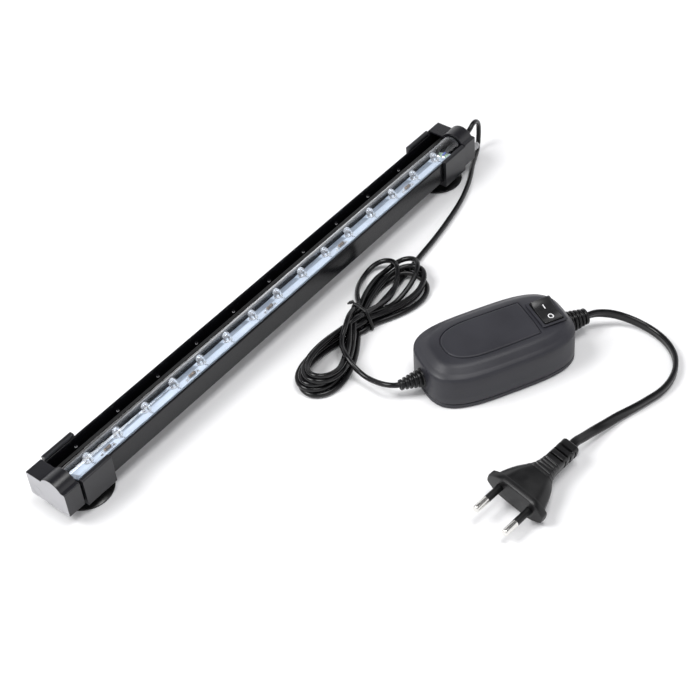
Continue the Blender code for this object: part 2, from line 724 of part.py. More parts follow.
def switch():
    """Rocker switch: a bezel with a sunk well, and the rocker on its pivot."""
    bezel_low = ADAPTER_TOP + GAP
    bezel_top = bezel_low + BEZEL[2]
    pivot_z = bezel_top - 1.9 * MM
    half_u, half_v = BEZEL[0] / 2, BEZEL[1] / 2
    body = switch_box("switch_body", half_u, half_v, bezel_low, bezel_top, GLOSS_BLACK)
    well_u, well_v = half_u - 1.0 * MM, half_v - 0.8 * MM
    block = switch_box("switch_block", well_u, well_v, 13 * MM, bezel_low + 0.5 * MM)
    combine(body, [block], "UNION")
    reach = rocker_reach() + GAP
    width = ROCKER_WIDTH / 2 + GAP
    well = switch_box("switch_well", width, reach, pivot_z - 6 * MM, bezel_top + 5 * MM)
    combine(body, [well])
    rocker(pivot_z)


def switch_box(name, half_u, half_v, low, high, paint=None):
    """A box about the switch's middle."""
    start = (SWITCH_U - half_u, SWITCH_V - half_v, low)
    return box(name, start, (SWITCH_U + half_u, SWITCH_V + half_v, high), paint, ADAPTER)


def rocker_reach():
    """Radius that the rocker's ends sweep about the pivot."""
    end_height = ROCKER_VALLEY + ROCKER_HALF * math.tan(ROCKER_LEAN)
    return math.hypot(ROCKER_HALF, end_height)


def rocker(pivot_z):
    """V-topped rocker with its ends on arcs about the pivot, stored with its -v end pressed."""
    reach = rocker_reach()
    corner = math.acos(ROCKER_HALF / reach)
    right_end = arc((0, 0), reach, math.radians(-12), corner, 4)
    left_end = [(-v, z) for v, z in reversed(right_end)]
    outline = [(-3 * MM, -3.6 * MM), (3 * MM, -3.6 * MM)]
    outline += right_end + [(0, ROCKER_VALLEY)] + left_end
    half = ROCKER_WIDTH / 2
    piece = extruded("rocker", [outline], -half, half, GLOSS_BLACK, ADAPTER, ALONG_X)
    piece.location = (SWITCH_U, SWITCH_V, pivot_z)
    piece.rotation_euler = (ROCKER_LEAN, 0, 0)


def strain_relief(name, z, side, bore, thick, thin):
    """Ribbed, tapering rubber sleeve with an inner collar that holds it in the cover."""
    neck = 3.6 * MM if bore < 2.5 * MM else 4.0 * MM
    ribs = 5
    pitch = (RELIEF_LENGTH - 1.0 * MM) / ribs
    profile = [(bore, RELIEF_LENGTH)]
    for i in reversed(range(ribs)):
        share = i / (ribs - 1)
        radius = thick + (thin - thick) * share
        bottom = 0.6 * MM + i * pitch
        profile += [(radius, bottom + pitch * 0.95), (radius, bottom + pitch * 0.4)]
        profile += [(radius - 1.0 * MM, bottom + pitch * 0.35), (radius - 1.0 * MM, bottom)]
    profile[1] = (thin, RELIEF_LENGTH)
    profile += [(neck, 0.3 * MM), (neck, -2.4 * MM), (neck + 1.2 * MM, -2.4 * MM)]
    profile += [(neck + 1.2 * MM, -4.4 * MM), (bore, -4.4 * MM)]
    turn = TOWARDS_X if side > 0 else TOWARDS_MINUS_X
    at = (side * ADAPTER_LENGTH / 2, 0, z)
    turned(name, profile, RUBBER_BLACK, ADAPTER, at, turn, steps=18, ring=True)


def adapter():
    adapter_cover()
    adapter_base()
    base_screws()
    adapter_electronics()
    switch()
    output_bore, mains_bore = CORD_RADIUS + GAP, 2.8 * MM
    strain_relief("output_relief", OUTPUT_RELIEF_Z, -1, output_bore, 4.9 * MM, 3.0 * MM)
    strain_relief("mains_relief", MAINS_RELIEF_Z, 1, mains_bore, 6.2 * MM, 4.6 * MM)


# ----------------------------------------------------------- cords and plug

RUN_ROUTE = (
    (166.5, -4.2, 19.5),
    (176.0, -4.2, 19.5),
    (182.9, -4.2, 19.5),
    (186.6, -3.8, 20.9),
    (190.6, -2.4, 21.6),
    (194.6, -1.4, 18.9),
    (196.9, -1.6, 14.0),
    (196.9, -2.8, 8.6),
    (194.4, -4.6, 4.4),
    (190.0, -6.6, 2.0),
    (184.0, -9.2, 1.6),
    (176.5, -12.6, 1.6),
    (163.5, -19.4, 1.6),
    (150.0, -24.8, 1.6),
    (137.0, -28.6, 1.6),
    (120.0, -32.2, 1.6),
    (104.0, -34.9, 1.6),
    (92.0, -36.4, 1.6),
    (80.4, -37.9, 1.8),
)

TAIL_ROUTE = (
    (-12.9, -70.5, 6.1),
    (-13.8, -75.0, 6.0),
    (-14.4, -80.0, 6.6),
    (-14.9, -84.5, 7.3),
    (-15.2, -88.8, 8.3),
    (-14.6, -92.2, 9.1),
    (-13.1, -94.5, 9.4),
    (-11.3, -95.6, 9.4),
)

MAINS_ROUTE = (
    (89.9, -149.3, 10.4),
    (95.2, -152.7, 10.0),
    (100.6, -158.4, 8.4),
    (104.6, -165.4, 6.2),
    (106.9, -174.0, 4.0),
    (106.4, -184.0, 2.8),
    (102.4, -194.0, 2.6),
    (95.0, -202.4, 2.6),
    (84.0, -207.6, 2.6),
    (71.0, -208.6, 2.6),
    (57.0, -205.0, 2.6),
    (41.0, -199.6, 3.0),
    (32.0, -197.4, 3.8),
    (23.0, -195.4, 5.2),
    (15.0, -194.2, 7.0),
    (9.5, -193.4, 8.4),
    (4.9, -193.3, 8.9),
)


def oval(centre, half_x, half_y, start, end, steps):
    points = []
    for i in range(steps + 1):
        angle = math.radians(start + (end - start) * i / steps)
        x = centre[0] + half_x * math.cos(angle)
        points.append((x * MM, (centre[1] + half_y * math.sin(angle)) * MM))
    return points


def cord_hank():
    """Outer shape of the tied figure of eight: a broad lobe and a narrow one."""
    waist_left, waist_right = (TIE_X / MM, -36.6), (TIE_X / MM, -50.6)
    broad = oval((57.0, -39.4), 21.6, 19.8, 120, -120, 14)
    narrow = oval((-21.0, -52.0), 18.6, 15.4, -70, -262, 12)
    outline = [(waist_left[0] * MM, waist_left[1] * MM), *broad]
    outline += [(waist_right[0] * MM, waist_right[1] * MM), *narrow]
    hank = extruded("lamp_cord_hank", [outline], HANK_BOTTOM, HANK_TOP, RUBBER_BLACK, ASSEMBLY)
    groove = box(
        "tie_groove",
        (TIE_X - 2.1 * MM, -60 * MM, -MM),
        (TIE_X + 2.1 * MM, -30 * MM, HANK_BOTTOM + 1.3 * MM),
        None,
        ASSEMBLY,
    )
    combine(hank, [groove])


def twist_tie():
    """Flat wire tie around the hank's waist."""
    half_y, low, high = 9.6 * MM, 0.2 * MM, HANK_TOP + 1.3 * MM
    middle = (-43.4 * MM, (low + high) / 2)
    half_z = (high - low) / 2
    thickness = 0.8 * MM
    outer = [(middle[0] + y, middle[1] + z) for y, z in rounded_rectangle(half_y, half_z, 2 * MM, 3)]
    inner_shape = rounded_rectangle(half_y - thickness, half_z - thickness, 1.2 * MM, 3)
    inner = [(middle[0] + y, middle[1] + z) for y, z in inner_shape]
    low_x, high_x = TIE_X - 1.6 * MM, TIE_X + 1.6 * MM
    extruded("twist_tie", [outer, inner], low_x, high_x, RUBBER_BLACK, ASSEMBLY, ALONG_X)


def plug_section(u, width, height, flat, end):
    """Flattened octagon across the plug: half width, half height, half flat top, half end."""
    quarter = [(width, end), (flat, height), (-flat, height), (-width, end)]
    both = quarter + [(-v, -z) for v, z in quarter]
    return [(u * MM, v * MM, z * MM) for v, z in both]


PLUG_SECTIONS = (
    (0.0, 17.2, 6.6, 10.6, 2.7),
    (-0.5, 17.6, 6.85, 11.0, 2.9),
    (-4.0, 17.6, 6.85, 11.0, 2.9),
    (-4.4, 15.1, 6.0, 9.4, 2.6),
    (-8.0, 14.1, 5.9, 9.0, 2.6),
    (-12.0, 12.6, 5.8, 8.3, 2.5),
    (-15.5, 11.0, 5.6, 7.2, 2.4),
    (-18.5, 9.0, 5.3, 6.0, 2.4),
    (-21.5, 6.9, 5.0, 4.8, 2.4),
    (-25.0, 5.6, 4.8, 4.2, 2.5),
    (-30.0, 5.1, 4.6, 4.0, 2.7),
    (-44.6, 5.1, 4.2, 3.9, 2.7),
    (-45.4, 4.4, 3.6, 3.2, 2.1),
)


def plug():
    """Flat two-pin plug: a waisted body, and pins with insulated roots."""
    rings = [plug_section(*section) for section in PLUG_SECTIONS]
    body = lofted("plug_body", rings, RUBBER_BLACK, PLUG)
    sockets = []
    for side, word in ((1, "left"), (-1, "right")):
        v = side * PIN_SPACING / 2
        socket_at = (-8 * MM, v, 0)
        socket_name = f"pin_socket_{word}"
        sockets.append(rod(socket_name, socket_at, PIN_RADIUS + GAP, 12 * MM, None, PLUG, TOWARDS_X))
        plug_pin(word, v)
    combine(body, sockets)


def plug_pin(word, v):
    """One metal pin, necked down under its insulating sleeve."""
    core = 1.5 * MM
    pin = [
        (0, PIN_LENGTH),
        (1.2 * MM, PIN_LENGTH),
        (PIN_RADIUS, PIN_LENGTH - 0.9 * MM),
        (PIN_RADIUS, SLEEVE_LENGTH + GAP),
        (core, SLEEVE_LENGTH + GAP),
        (core, -7.6 * MM),
        (0, -7.6 * MM),
    ]
    turned(f"plug_pin_{word}", pin, NICKEL, PLUG, (0, v, 0), TOWARDS_X, steps=16)
    inner = core + 0.1 * MM
    sleeve = [(inner, SLEEVE_LENGTH), (PIN_RADIUS, SLEEVE_LENGTH), (PIN_RADIUS, -5 * MM), (inner, -5 * MM)]
    name = f"pin_sleeve_{word}"
    turned(name, sleeve, RUBBER_BLACK, PLUG, (0, v, 0), TOWARDS_X, steps=16, ring=True)


def cords():
    run = smooth_route(RUN_ROUTE, 3 * MM)
    tube("lamp_cord_run", run, CORD_RADIUS, RUBBER_BLACK, ASSEMBLY)
    cord_hank()
    twist_tie()
    tube("lamp_cord_tail", smooth_route(TAIL_ROUTE, 3 * MM), CORD_RADIUS, RUBBER_BLACK, ASSEMBLY)
    mains = smooth_route(MAINS_ROUTE, 6 * MM)
    tube("mains_cord", mains, MAINS_RADIUS, RUBBER_BLACK, ASSEMBLY)


housing()
air_duct()
caps()
cord_gland()
air_nozzle()
bracket("near_bracket", -BRACKET_MIDDLE)
bracket("far_bracket", BRACKET_MIDDLE)
suction_cup("near_suction_cup", -BRACKET_MIDDLE)
suction_cup("far_suction_cup", BRACKET_MIDDLE)
lamp_tube()
tube_plugs()
led_board()
leds()
resistors()
lead_wires()
adapter()
cords()
plug()
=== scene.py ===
"""LED aquarium light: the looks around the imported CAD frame.

Metres, +Z up, X along the light bar. Pieces are drawn in millimetres in the same
frames as the CAD: BAR, LAMP, ADAPTER and PLUG.
"""

import math

import bmesh
import bpy
from mathutils import Matrix, Vector


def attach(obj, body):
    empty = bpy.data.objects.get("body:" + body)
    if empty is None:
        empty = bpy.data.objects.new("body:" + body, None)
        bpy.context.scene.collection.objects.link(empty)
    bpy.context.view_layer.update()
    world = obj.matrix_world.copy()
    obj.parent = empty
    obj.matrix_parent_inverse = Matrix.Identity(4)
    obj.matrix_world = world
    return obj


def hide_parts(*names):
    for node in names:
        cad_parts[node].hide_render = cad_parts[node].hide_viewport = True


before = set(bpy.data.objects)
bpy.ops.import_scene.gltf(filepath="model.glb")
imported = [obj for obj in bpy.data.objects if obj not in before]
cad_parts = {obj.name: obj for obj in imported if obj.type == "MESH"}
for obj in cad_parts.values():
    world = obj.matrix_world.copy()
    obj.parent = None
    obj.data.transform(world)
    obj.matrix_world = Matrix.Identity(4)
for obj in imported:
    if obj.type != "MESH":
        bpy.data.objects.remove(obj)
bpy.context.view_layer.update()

MM = Matrix.Scale(0.001, 4)
BAR = Matrix.Translation((-0.004, 0, 0))
LAMP = BAR @ Matrix.Translation((0, -0.0042, 0.0195)) @ Matrix.Rotation(math.radians(-20), 4, "X")
ADAPTER = BAR @ Matrix.Translation((0.0394, -0.1225, 0)) @ Matrix.Rotation(math.radians(-28), 4, "Z")
PLUG = (
    BAR
    @ Matrix.Translation((-0.0409, -0.189, 0.0089))
    @ Matrix.Rotation(math.radians(174.5), 4, "Z")
    @ Matrix.Rotation(math.radians(-11), 4, "X")
)
ALONG_X = Matrix(((0, 0, 1, 0), (1, 0, 0, 0), (0, 1, 0, 0), (0, 0, 0, 1)))
TO_X = Matrix.Rotation(math.pi / 2, 4, "Y")
TO_MINUS_X = Matrix.Rotation(-math.pi / 2, 4, "Y")
STILL = Matrix.Identity(4)
SCENE = bpy.context.scene


# ------------------------------------------------------------------ materials


class Nodes:
    """A material's node tree, with short calls for the nodes used here."""

    def __init__(self, name):
        self.material = bpy.data.materials.new(name)
        self.material.use_nodes = True
        self.tree = self.material.node_tree
        self.shader = self.tree.nodes["Principled BSDF"]
        self.coords = self.add("ShaderNodeTexCoord").outputs["Object"]

    def add(self, kind, **inputs):
        node = self.tree.nodes.new(kind)
        for key, value in inputs.items():
            node.inputs[key.replace("_", " ")].default_value = value
        return node

    def link(self, out, into):
        self.tree.links.new(out, into)

    def noise(self, scale, detail=3.0, stretch=None):
        node = self.add("ShaderNodeTexNoise", Scale=scale, Detail=detail)
        coords = self.coords
        if stretch:
            mapping = self.add("ShaderNodeMapping", Scale=stretch)
            self.link(coords, mapping.inputs["Vector"])
            coords = mapping.outputs["Vector"]
        self.link(coords, node.inputs["Vector"])
        return node.outputs["Fac"]

    def ramp(self, value, low, high):
        """Value from its middle range onto low..high."""
        node = self.add("ShaderNodeMapRange", From_Min=0.3, From_Max=0.7, To_Min=low, To_Max=high)
        self.link(value, node.inputs["Value"])
        return node.outputs["Result"]

    def colours(self, value, first, second):
        node = self.add("ShaderNodeValToRGB")
        for stop, at, colour in zip(node.color_ramp.elements, (0.35, 0.65), (first, second)):
            stop.position, stop.color = at, (*colour, 1)
        self.link(value, node.inputs["Fac"])
        self.link(node.outputs["Color"], self.shader.inputs["Base Color"])

    def bump(self, value, strength, depth):
        node = self.add("ShaderNodeBump", Strength=strength, Distance=depth)
        self.link(value, node.inputs["Height"])
        self.link(node.outputs["Normal"], self.shader.inputs["Normal"])

    def sets(self, **values):
        for key, value in values.items():
            self.shader.inputs[key.replace("_", " ")].default_value = value


def surface(name, first, second, rough, patch=60.0, grain=2500.0, strength=0.25, depth=3e-5, **sets):
    """A moulded or metal surface: two close tones in patches, uneven gloss and a fine grain."""
    made = Nodes(name)
    patches = made.noise(patch, 4.0)
    fine = made.noise(grain, 2.0)
    made.colours(patches, first, second)
    made.link(made.ramp(patches, *rough), made.shader.inputs["Roughness"])
    if strength:
        made.bump(fine, strength, depth)
    made.sets(**sets)
    return made.material


def brushed(name, first, second, rough, stretch, **sets):
    """Drawn metal or an extruded face, with fine lines along one axis."""
    made = Nodes(name)
    lines = made.noise(900.0, 4.0, stretch)
    made.colours(lines, first, second)
    made.link(made.ramp(lines, *rough), made.shader.inputs["Roughness"])
    made.bump(lines, 0.12, 2e-5)
    made.sets(**sets)
    return made.material


def clear(name, tint, rough, ior, see_through, haze):
    made = Nodes(name)
    smear = made.noise(90.0, 4.0, (0.25, 1, 1))
    made.colours(smear, tint, tuple(0.97 * c for c in tint))
    made.link(made.ramp(smear, rough, rough + haze), made.shader.inputs["Roughness"])
    made.sets(IOR=ior, Transmission_Weight=see_through)
    return made.material


GLOSS = surface(
    "gloss_black", (0.0045, 0.0045, 0.0065), (0.0065, 0.0065, 0.009), (0.26, 0.34), 45, 900, 0.06, 3e-5,
    Specular_IOR_Level=0.5
)
EXTRUDED = brushed(
    "extruded_black", (0.003, 0.003, 0.004), (0.005, 0.005, 0.0065), (0.18, 0.24), (0.02, 1, 1),
    Specular_IOR_Level=0.32
)
# lighter grey for the near cap's end face and its moulded ring: painted light where the key lamp falls on
# that face; the cap's own plastic is gloss black
END_FACE_PAINTED_LIGHT = surface("near_end_painted_light", (0.36, 0.36, 0.375), (0.41, 0.41, 0.425), (0.42, 0.52), 90, 2600, 0.4, 4e-5)
# lighter grey on the rib's top face beside the tube: a painted reflection on the same black extrusion
RIB_TOP_PAINTED_REFLECTION = brushed(
    "rib_top_painted_reflection", (0.008, 0.008, 0.008), (0.012, 0.012, 0.012), (0.3, 0.4), (0.02, 1, 1), Specular_IOR_Level=0.4
)
COVER = surface(
    "matte_grey", (0.017, 0.017, 0.0225), (0.021, 0.021, 0.0275), (0.4, 0.48), 50, 3200, 0.35, 4e-5,
    Specular_IOR_Level=0.4
)
GLOSS_SWITCH = surface(
    "switch_black", (0.009, 0.009, 0.01), (0.013, 0.013, 0.014), (0.24, 0.32), 120, 2600, 0.15
)
# near-black for the seam between cover and base, and painted shade on the inner walls of the switch's well
SEAM_DARK_AND_WELL_SHADE = surface("seam_dark_and_well_shade", (0.006, 0.006, 0.007), (0.009, 0.009, 0.01), (0.5, 0.6))
RUBBER = surface(
    "rubber_black", (0.003, 0.003, 0.0034), (0.005, 0.005, 0.0055), (0.28, 0.36), 140, 3000, 0.3, 4e-5,
    Specular_IOR_Level=0.35
)
CORD = surface(
    "cord_black", (0.0025, 0.0025, 0.003), (0.0045, 0.0045, 0.005), (0.17, 0.25), 220, 2400, 0.15, 3e-5,
    Specular_IOR_Level=0.35
)
CUP = surface("cup_black", (0.005, 0.005, 0.005), (0.009, 0.009, 0.009), (0.2, 0.3), 80, 1400, 0.12, 4e-5)
PLUG_SKIN = surface(
    "plug_black", (0.004, 0.004, 0.0045), (0.006, 0.006, 0.0065), (0.28, 0.38), 120, 2600, 0.4, 4e-5,
    Specular_IOR_Level=0.4
)
# light grey of the air inlet nozzle; the same grey on the raised rims round the air holes is a painted
# highlight
NOZZLE_GREY_AND_HOLE_HIGHLIGHT = surface("nozzle_grey", (0.30, 0.30, 0.31), (0.38, 0.38, 0.39), (0.34, 0.42), 200, 2500, 0.2)
SOLDER = surface(
    "solder", (0.62, 0.63, 0.64), (0.8, 0.8, 0.8), (0.2, 0.34), 900, 2600, 0.35, 4e-5, Metallic=1.0
)
NICKEL = surface(
    "nickel", (0.70, 0.69, 0.66), (0.82, 0.81, 0.78), (0.14, 0.24), 160, 2600, 0.12, 2e-5, Metallic=1.0
)
STEEL = surface(
    "steel", (0.50, 0.50, 0.51), (0.62, 0.62, 0.63), (0.24, 0.36), 300, 2600, 0.2, 2e-5, Metallic=1.0
)
COPPER = surface(
    "copper", (0.55, 0.24, 0.12), (0.66, 0.33, 0.18), (0.28, 0.4), 500, 2600, 0.3, 4e-5, Metallic=1.0
)
FERRITE = surface("ferrite", (0.045, 0.045, 0.05), (0.07, 0.07, 0.072), (0.55, 0.7), 300, 1800, 0.5, 6e-5)
SLEEVE = surface("capacitor_sleeve", (0.01, 0.012, 0.02), (0.016, 0.018, 0.03), (0.2, 0.3), 200, 1500, 0.1)
LEAD = surface(
    "lead_frame", (0.10, 0.10, 0.11), (0.17, 0.17, 0.18), (0.3, 0.42), 800, 2600, 0.2, 2e-5, Metallic=1.0
)
# dark grey for the small raised dots beside each LED
DARK_DOT = surface("dark_dot_grey", (0.02, 0.022, 0.028), (0.045, 0.05, 0.055), (0.3, 0.5), 1500, 2600, 0.3)
BOARD = surface("board_white", (0.31, 0.35, 0.405), (0.35, 0.39, 0.445), (0.3, 0.4), 120, 2400, 0.2, 3e-5)
# dark grey for the bands on the board between the LEDs, and for a patch at the board's near end
BOARD_DARK_BAND = surface("board_dark_band", (0.13, 0.15, 0.18), (0.16, 0.18, 0.21), (0.28, 0.36), 200, 2400, 0.15)
MASK_GREEN = surface("board_green", (0.25, 0.36, 0.24), (0.34, 0.46, 0.33), (0.35, 0.45), 700, 2400, 0.3)
GREEN = surface("laminate_green", (0.03, 0.15, 0.06), (0.05, 0.2, 0.09), (0.35, 0.45), 90, 1800, 0.2)
TAN = surface("resistor_tan", (0.13, 0.095, 0.065), (0.18, 0.13, 0.09), (0.3, 0.42), 500, 2400, 0.2)
BAND_BROWN = surface("band_brown", (0.06, 0.03, 0.02), (0.08, 0.045, 0.03), (0.3, 0.4))
BAND_BLACK = surface("band_black", (0.01, 0.01, 0.012), (0.015, 0.015, 0.017), (0.3, 0.4))
BLUE = surface("wire_blue", (0.015, 0.035, 0.2), (0.025, 0.055, 0.27), (0.34, 0.44), 400, 2400, 0.2)
MARK = surface("print_white", (0.78, 0.78, 0.79), (0.84, 0.84, 0.85), (0.4, 0.5), 800, 2600, 0.15)
ACRYLIC = clear("clear_acrylic", (0.93, 0.96, 1.0), 0.0, 1.49, 1.0, 0.02)
LENS = clear("led_epoxy", (0.93, 0.95, 0.97), 0.04, 1.5, 0.86, 0.05)


# ------------------------------------------------------------------- shapes


class Shape:
    """Vertices and faces in millimetres, gathered from rings, turnings and extrusions."""

    def __init__(self):
        self.points, self.faces, self.paint = [], [], []

    def face(self, corners, paint):
        self.faces.append(corners)
        self.paint.append(paint)

    def loft(self, rings, paint=0, turn=STILL, loop=False, ends=True):
        """Quads between rings of equally many points; paint may be a function of (ring, side)."""
        first, count = len(self.points), len(rings[0])
        for ring in rings:
            self.points += [turn @ Vector(p) for p in ring]
        for k in range(len(rings) if loop else len(rings) - 1):
            here, there = first + k * count, first + (k + 1) % len(rings) * count
            for i in range(count):
                j = (i + 1) % count
                colour = paint(k, i) if callable(paint) else paint
                self.face([here + i, here + j, there + j, there + i], colour)
        if ends and not loop:
            colour = paint(0, 0) if callable(paint) else paint
            self.face([first + i for i in reversed(range(count))], colour)
            last = first + (len(rings) - 1) * count
            self.face([last + i for i in range(count)], colour)
        return self

    def lathe(self, profile, steps=48, paint=0, turn=STILL, loop=False):
        """(radius, height) points turned about Z; a radius of 0 closes the end."""
        rings = []
        for radius, height in profile:
            ring = []
            for i in range(steps):
                angle = math.tau * i / steps
                ring.append((radius * math.cos(angle), radius * math.sin(angle), height))
            rings.append(ring)
        return self.loft(rings, paint, turn, loop, ends=False)

    def extrude(self, outline, low, high, paint=0, turn=ALONG_X):
        rings = [[(a, b, c) for a, b in outline] for c in (low, high)]
        return self.loft(rings, paint, turn)

    def box(self, low, high, paint=0, turn=STILL):
        (x0, y0, z0), (x1, y1, z1) = low, high
        return self.extrude([(x0, y0), (x1, y0), (x1, y1), (x0, y1)], z0, z1, paint, turn)


def fillet(corners, loop=True, step=18):
    """A polyline through (a, b, radius) corners, each rounded to its radius."""
    out, count = [], len(corners)
    for i, (x, y, radius) in enumerate(corners):
        at = Vector((x, y))
        if radius <= 0 or (not loop and i in (0, count - 1)):
            out.append((x, y))
            continue
        back = Vector(corners[i - 1][:2]) - at
        ahead = Vector(corners[(i + 1) % count][:2]) - at
        turn = math.pi - back.angle(ahead)
        if turn < 0.02:
            out.append((x, y))
            continue
        cut = min(radius * math.tan(turn / 2), 0.48 * back.length, 0.48 * ahead.length)
        radius = cut / math.tan(turn / 2)
        back.normalize(), ahead.normalize()
        centre = at + (back + ahead).normalized() * (radius / math.cos(turn / 2))
        start, end = at + back * cut - centre, at + ahead * cut - centre
        a0 = math.atan2(start.y, start.x)
        sweep = (math.atan2(end.y, end.x) - a0 + math.pi) % math.tau - math.pi
        steps = max(1, math.ceil(math.degrees(turn) / step))
        for k in range(steps + 1):
            a = a0 + sweep * k / steps
            out.append((centre.x + radius * math.cos(a), centre.y + radius * math.sin(a)))
    return out


def rectangle(half_u, half_v, radius):
    corners = ((-half_u, -half_v), (half_u, -half_v), (half_u, half_v), (-half_u, half_v))
    return fillet([(u, v, radius) for u, v in corners])


def facing(side, at):
    """Turns a lathe's axis towards +X or, for a negative side, -X, and moves it."""
    return Matrix.Translation(at) @ (TO_X if side > 0 else TO_MINUS_X)


def ahead_at(line, i):
    """Direction of a line of points at its point i."""
    return (line[min(i + 1, len(line) - 1)] - line[max(i - 1, 0)]).normalized()


def arc(centre, radius, start, end, steps):
    angles = (start + (end - start) * i / steps for i in range(steps + 1))
    return [(centre[0] + radius * math.cos(a), centre[1] + radius * math.sin(a)) for a in angles]


def mesh_from(shape, name, place):
    mesh = bpy.data.meshes.new(name)
    mesh.from_pydata(shape.points, [], shape.faces)
    mesh.polygons.foreach_set("material_index", shape.paint)
    bm = bmesh.new()
    bm.from_mesh(mesh)
    bmesh.ops.remove_doubles(bm, verts=bm.verts, dist=2e-4)
    bmesh.ops.recalc_face_normals(bm, faces=bm.faces)
    bm.to_mesh(mesh)
    bm.free()
    mesh.transform(place @ MM)
    return mesh


def apply_modifiers(obj):
    bpy.context.view_layer.update()
    graph = bpy.context.evaluated_depsgraph_get()
    made = bpy.data.meshes.new_from_object(obj.evaluated_get(graph))
    old, obj.data = obj.data, made
    obj.modifiers.clear()
    bpy.data.meshes.remove(old)


def finish_piece(obj, body, replaces):
    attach(obj, body)
    if replaces:
        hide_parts(*replaces)
    return obj


def piece(name, shape, place, paints, body, replaces=(), bevel=0.0, cut=None, sharp=34, weighted=False):
    """A shape as an object on a body. bevel is in mm; cut is a shape to take away."""
    obj = bpy.data.objects.new(name, mesh_from(shape, name, place))
    SCENE.collection.objects.link(obj)
    for paint in paints if isinstance(paints, (list, tuple)) else [paints]:
        obj.data.materials.append(paint)
    cutter = None
    if cut:
        cutter = bpy.data.objects.new("cutter", mesh_from(cut, "cutter", place))
        SCENE.collection.objects.link(cutter)
        modifier = obj.modifiers.new("cut", "BOOLEAN")
        modifier.object, modifier.solver = cutter, "EXACT"
    if bevel:
        modifier = obj.modifiers.new("round", "BEVEL")
        modifier.width, modifier.segments = bevel / 1000, 3
        modifier.limit_method, modifier.angle_limit = "ANGLE", math.radians(40)
    if cut or bevel:
        apply_modifiers(obj)
    if cutter:
        bpy.data.objects.remove(cutter, do_unlink=True)
    obj.data.shade_smooth()
    obj.data.set_sharp_from_angle(angle=math.radians(sharp))
    if weighted:
        modifier = obj.modifiers.new("normals", "WEIGHTED_NORMAL")
        modifier.keep_sharp = True
    return finish_piece(obj, body, replaces)


SPLITS = 24  # points of a curve for each of its knots


def curve_through(route):
    """Points on a Catmull-Rom curve through the route's points."""
    knots = [Vector(p) for p in route]
    knots = [2 * knots[0] - knots[1], *knots, 2 * knots[-1] - knots[-2]]
    dense = []
    for p0, p1, p2, p3 in zip(knots, knots[1:], knots[2:], knots[3:]):
        for i in range(SPLITS):
            t = i / SPLITS
            turn = (2 * p0 - 5 * p1 + 4 * p2 - p3) * t * t + (3 * p1 - p0 - 3 * p2 + p3) * t**3
            dense.append((2 * p1 + (p2 - p0) * t + turn) / 2)
    dense.append(knots[-2])
    return dense


def smooth_route(route, spacing):
    return respaced(curve_through(route), spacing)


def respaced(line, spacing):
    """The same line with points that are evenly spaced along it."""
    total = sum((b - a).length for a, b in zip(line, line[1:]))
    count = max(2, round(total / spacing))
    points, travelled = [line[0]], 0.0
    for a, b in zip(line, line[1:]):
        step = (b - a).length
        while len(points) < count and travelled + step >= total * len(points) / count:
            share = (total * len(points) / count - travelled) / step
            points.append(a + (b - a) * share)
        travelled += step
    points.append(line[-1])
    return points


def wire(name, line, radius, place, paint, body, replaces, sides=5):
    """A round tube on a line of points in millimetres."""
    curve = bpy.data.curves.new(name, "CURVE")
    curve.dimensions = "3D"
    curve.bevel_depth, curve.bevel_resolution = radius / 1000, sides
    curve.use_fill_caps = True
    spline = curve.splines.new("POLY")
    spline.points.add(len(line) - 1)
    for point, at in zip(spline.points, line):
        point.co = (*(place @ MM @ Vector(at)), 1)
    spline.use_smooth = True
    obj = bpy.data.objects.new(name, curve)
    SCENE.collection.objects.link(obj)
    curve.materials.append(paint)
    return finish_piece(obj, body, replaces)


# ------------------------------------------------------------------- camera


def camera():
    data = bpy.data.cameras.new("camera")
    cam = bpy.data.objects.new("camera", data)
    SCENE.collection.objects.link(cam)
    forward = Vector((0.5337, 0.4785, -0.6973)).normalized()
    level, rise = Vector((0.6676, -0.7446, 0)), Vector((0.5192, 0.4655, 0.7168))
    right = (0.9958 * level - 0.0913 * rise).normalized()
    up = (0.0913 * level + 0.9958 * rise).normalized()
    at = (-0.4442, -0.4477, 0.5785)
    axes = (right, up, -forward)
    rows = [(*(axis[i] for axis in axes), at[i]) for i in range(3)]
    cam.matrix_world = Matrix((*rows, (0, 0, 0, 1)))
    data.sensor_width = 36
    data.lens = 76.55
    data.clip_start = 0.01
    SCENE.camera = cam


camera()


# ------------------------------------------------------------------- cords

CORD_D, CORD_GAP = 3.0, 3.04
REST_Z = 1.6  # height of the cord's axis on the floor
WAIST_X, WAIST_LEFT_X, WAIST_RIGHT_X = 22.5, 19.5, 25.5
WAIST_Z = 2.3  # lowest height of a strand inside the tie
LOOP_END, TAIL_END = 60, 22  # points of the line at its ends that aren't smoothed in plan
LAID_X, FREE_X = 165, 170  # past these the line keeps its own heights
FAR_ALONG = 12  # points nearer along the line aren't taken for a crossing
RUN = [
    (166.5, -4.2, 19.5), (172, -4.2, 19.5), (176, -4.2, 19.5), (182.9, -4.2, 19.5),
    (186.5, -4.0, 20.4), (189.9, -3.6, 21.7), (193.4, -3.1, 21.1), (196.2, -2.8, 18.8),
    (197.4, -2.7, 15.4), (197.3, -2.9, 11.8), (196.4, -3.4, 8.4), (194.2, -4.6, 5.0), (190, -6.6, 2.0),
    (184, -9.2, 1.6),
    (176.5, -12.6, 1.6), (163.5, -19.4, 1.6), (150, -24.8, 1.6), (137, -28.6, 1.6),
    (120, -32.2, 1.6), (104, -34.9, 1.6), (92, -36.4, 1.6), (80.4, -37.9, 1.6),
    (66, -40.0, 1.6), (50, -41.9, 1.6), (36, -43.0, 1.6), (25.5, -43.4, 1.6),
]
TAIL = [
    (-13.4, -70.5, 6.1), (-13.9, -75, 6.0), (-14.3, -80, 6.8), (-14.5, -84.5, 7.8),
    (-14.3, -88.0, 8.7), (-13.5, -91.2, 9.2), (-12.1, -93.8, 9.4), (-10.2, -95.9, 9.4),
    (-7.6, -97.5, 9.4), (-4.2, -99.3, 9.4),
]
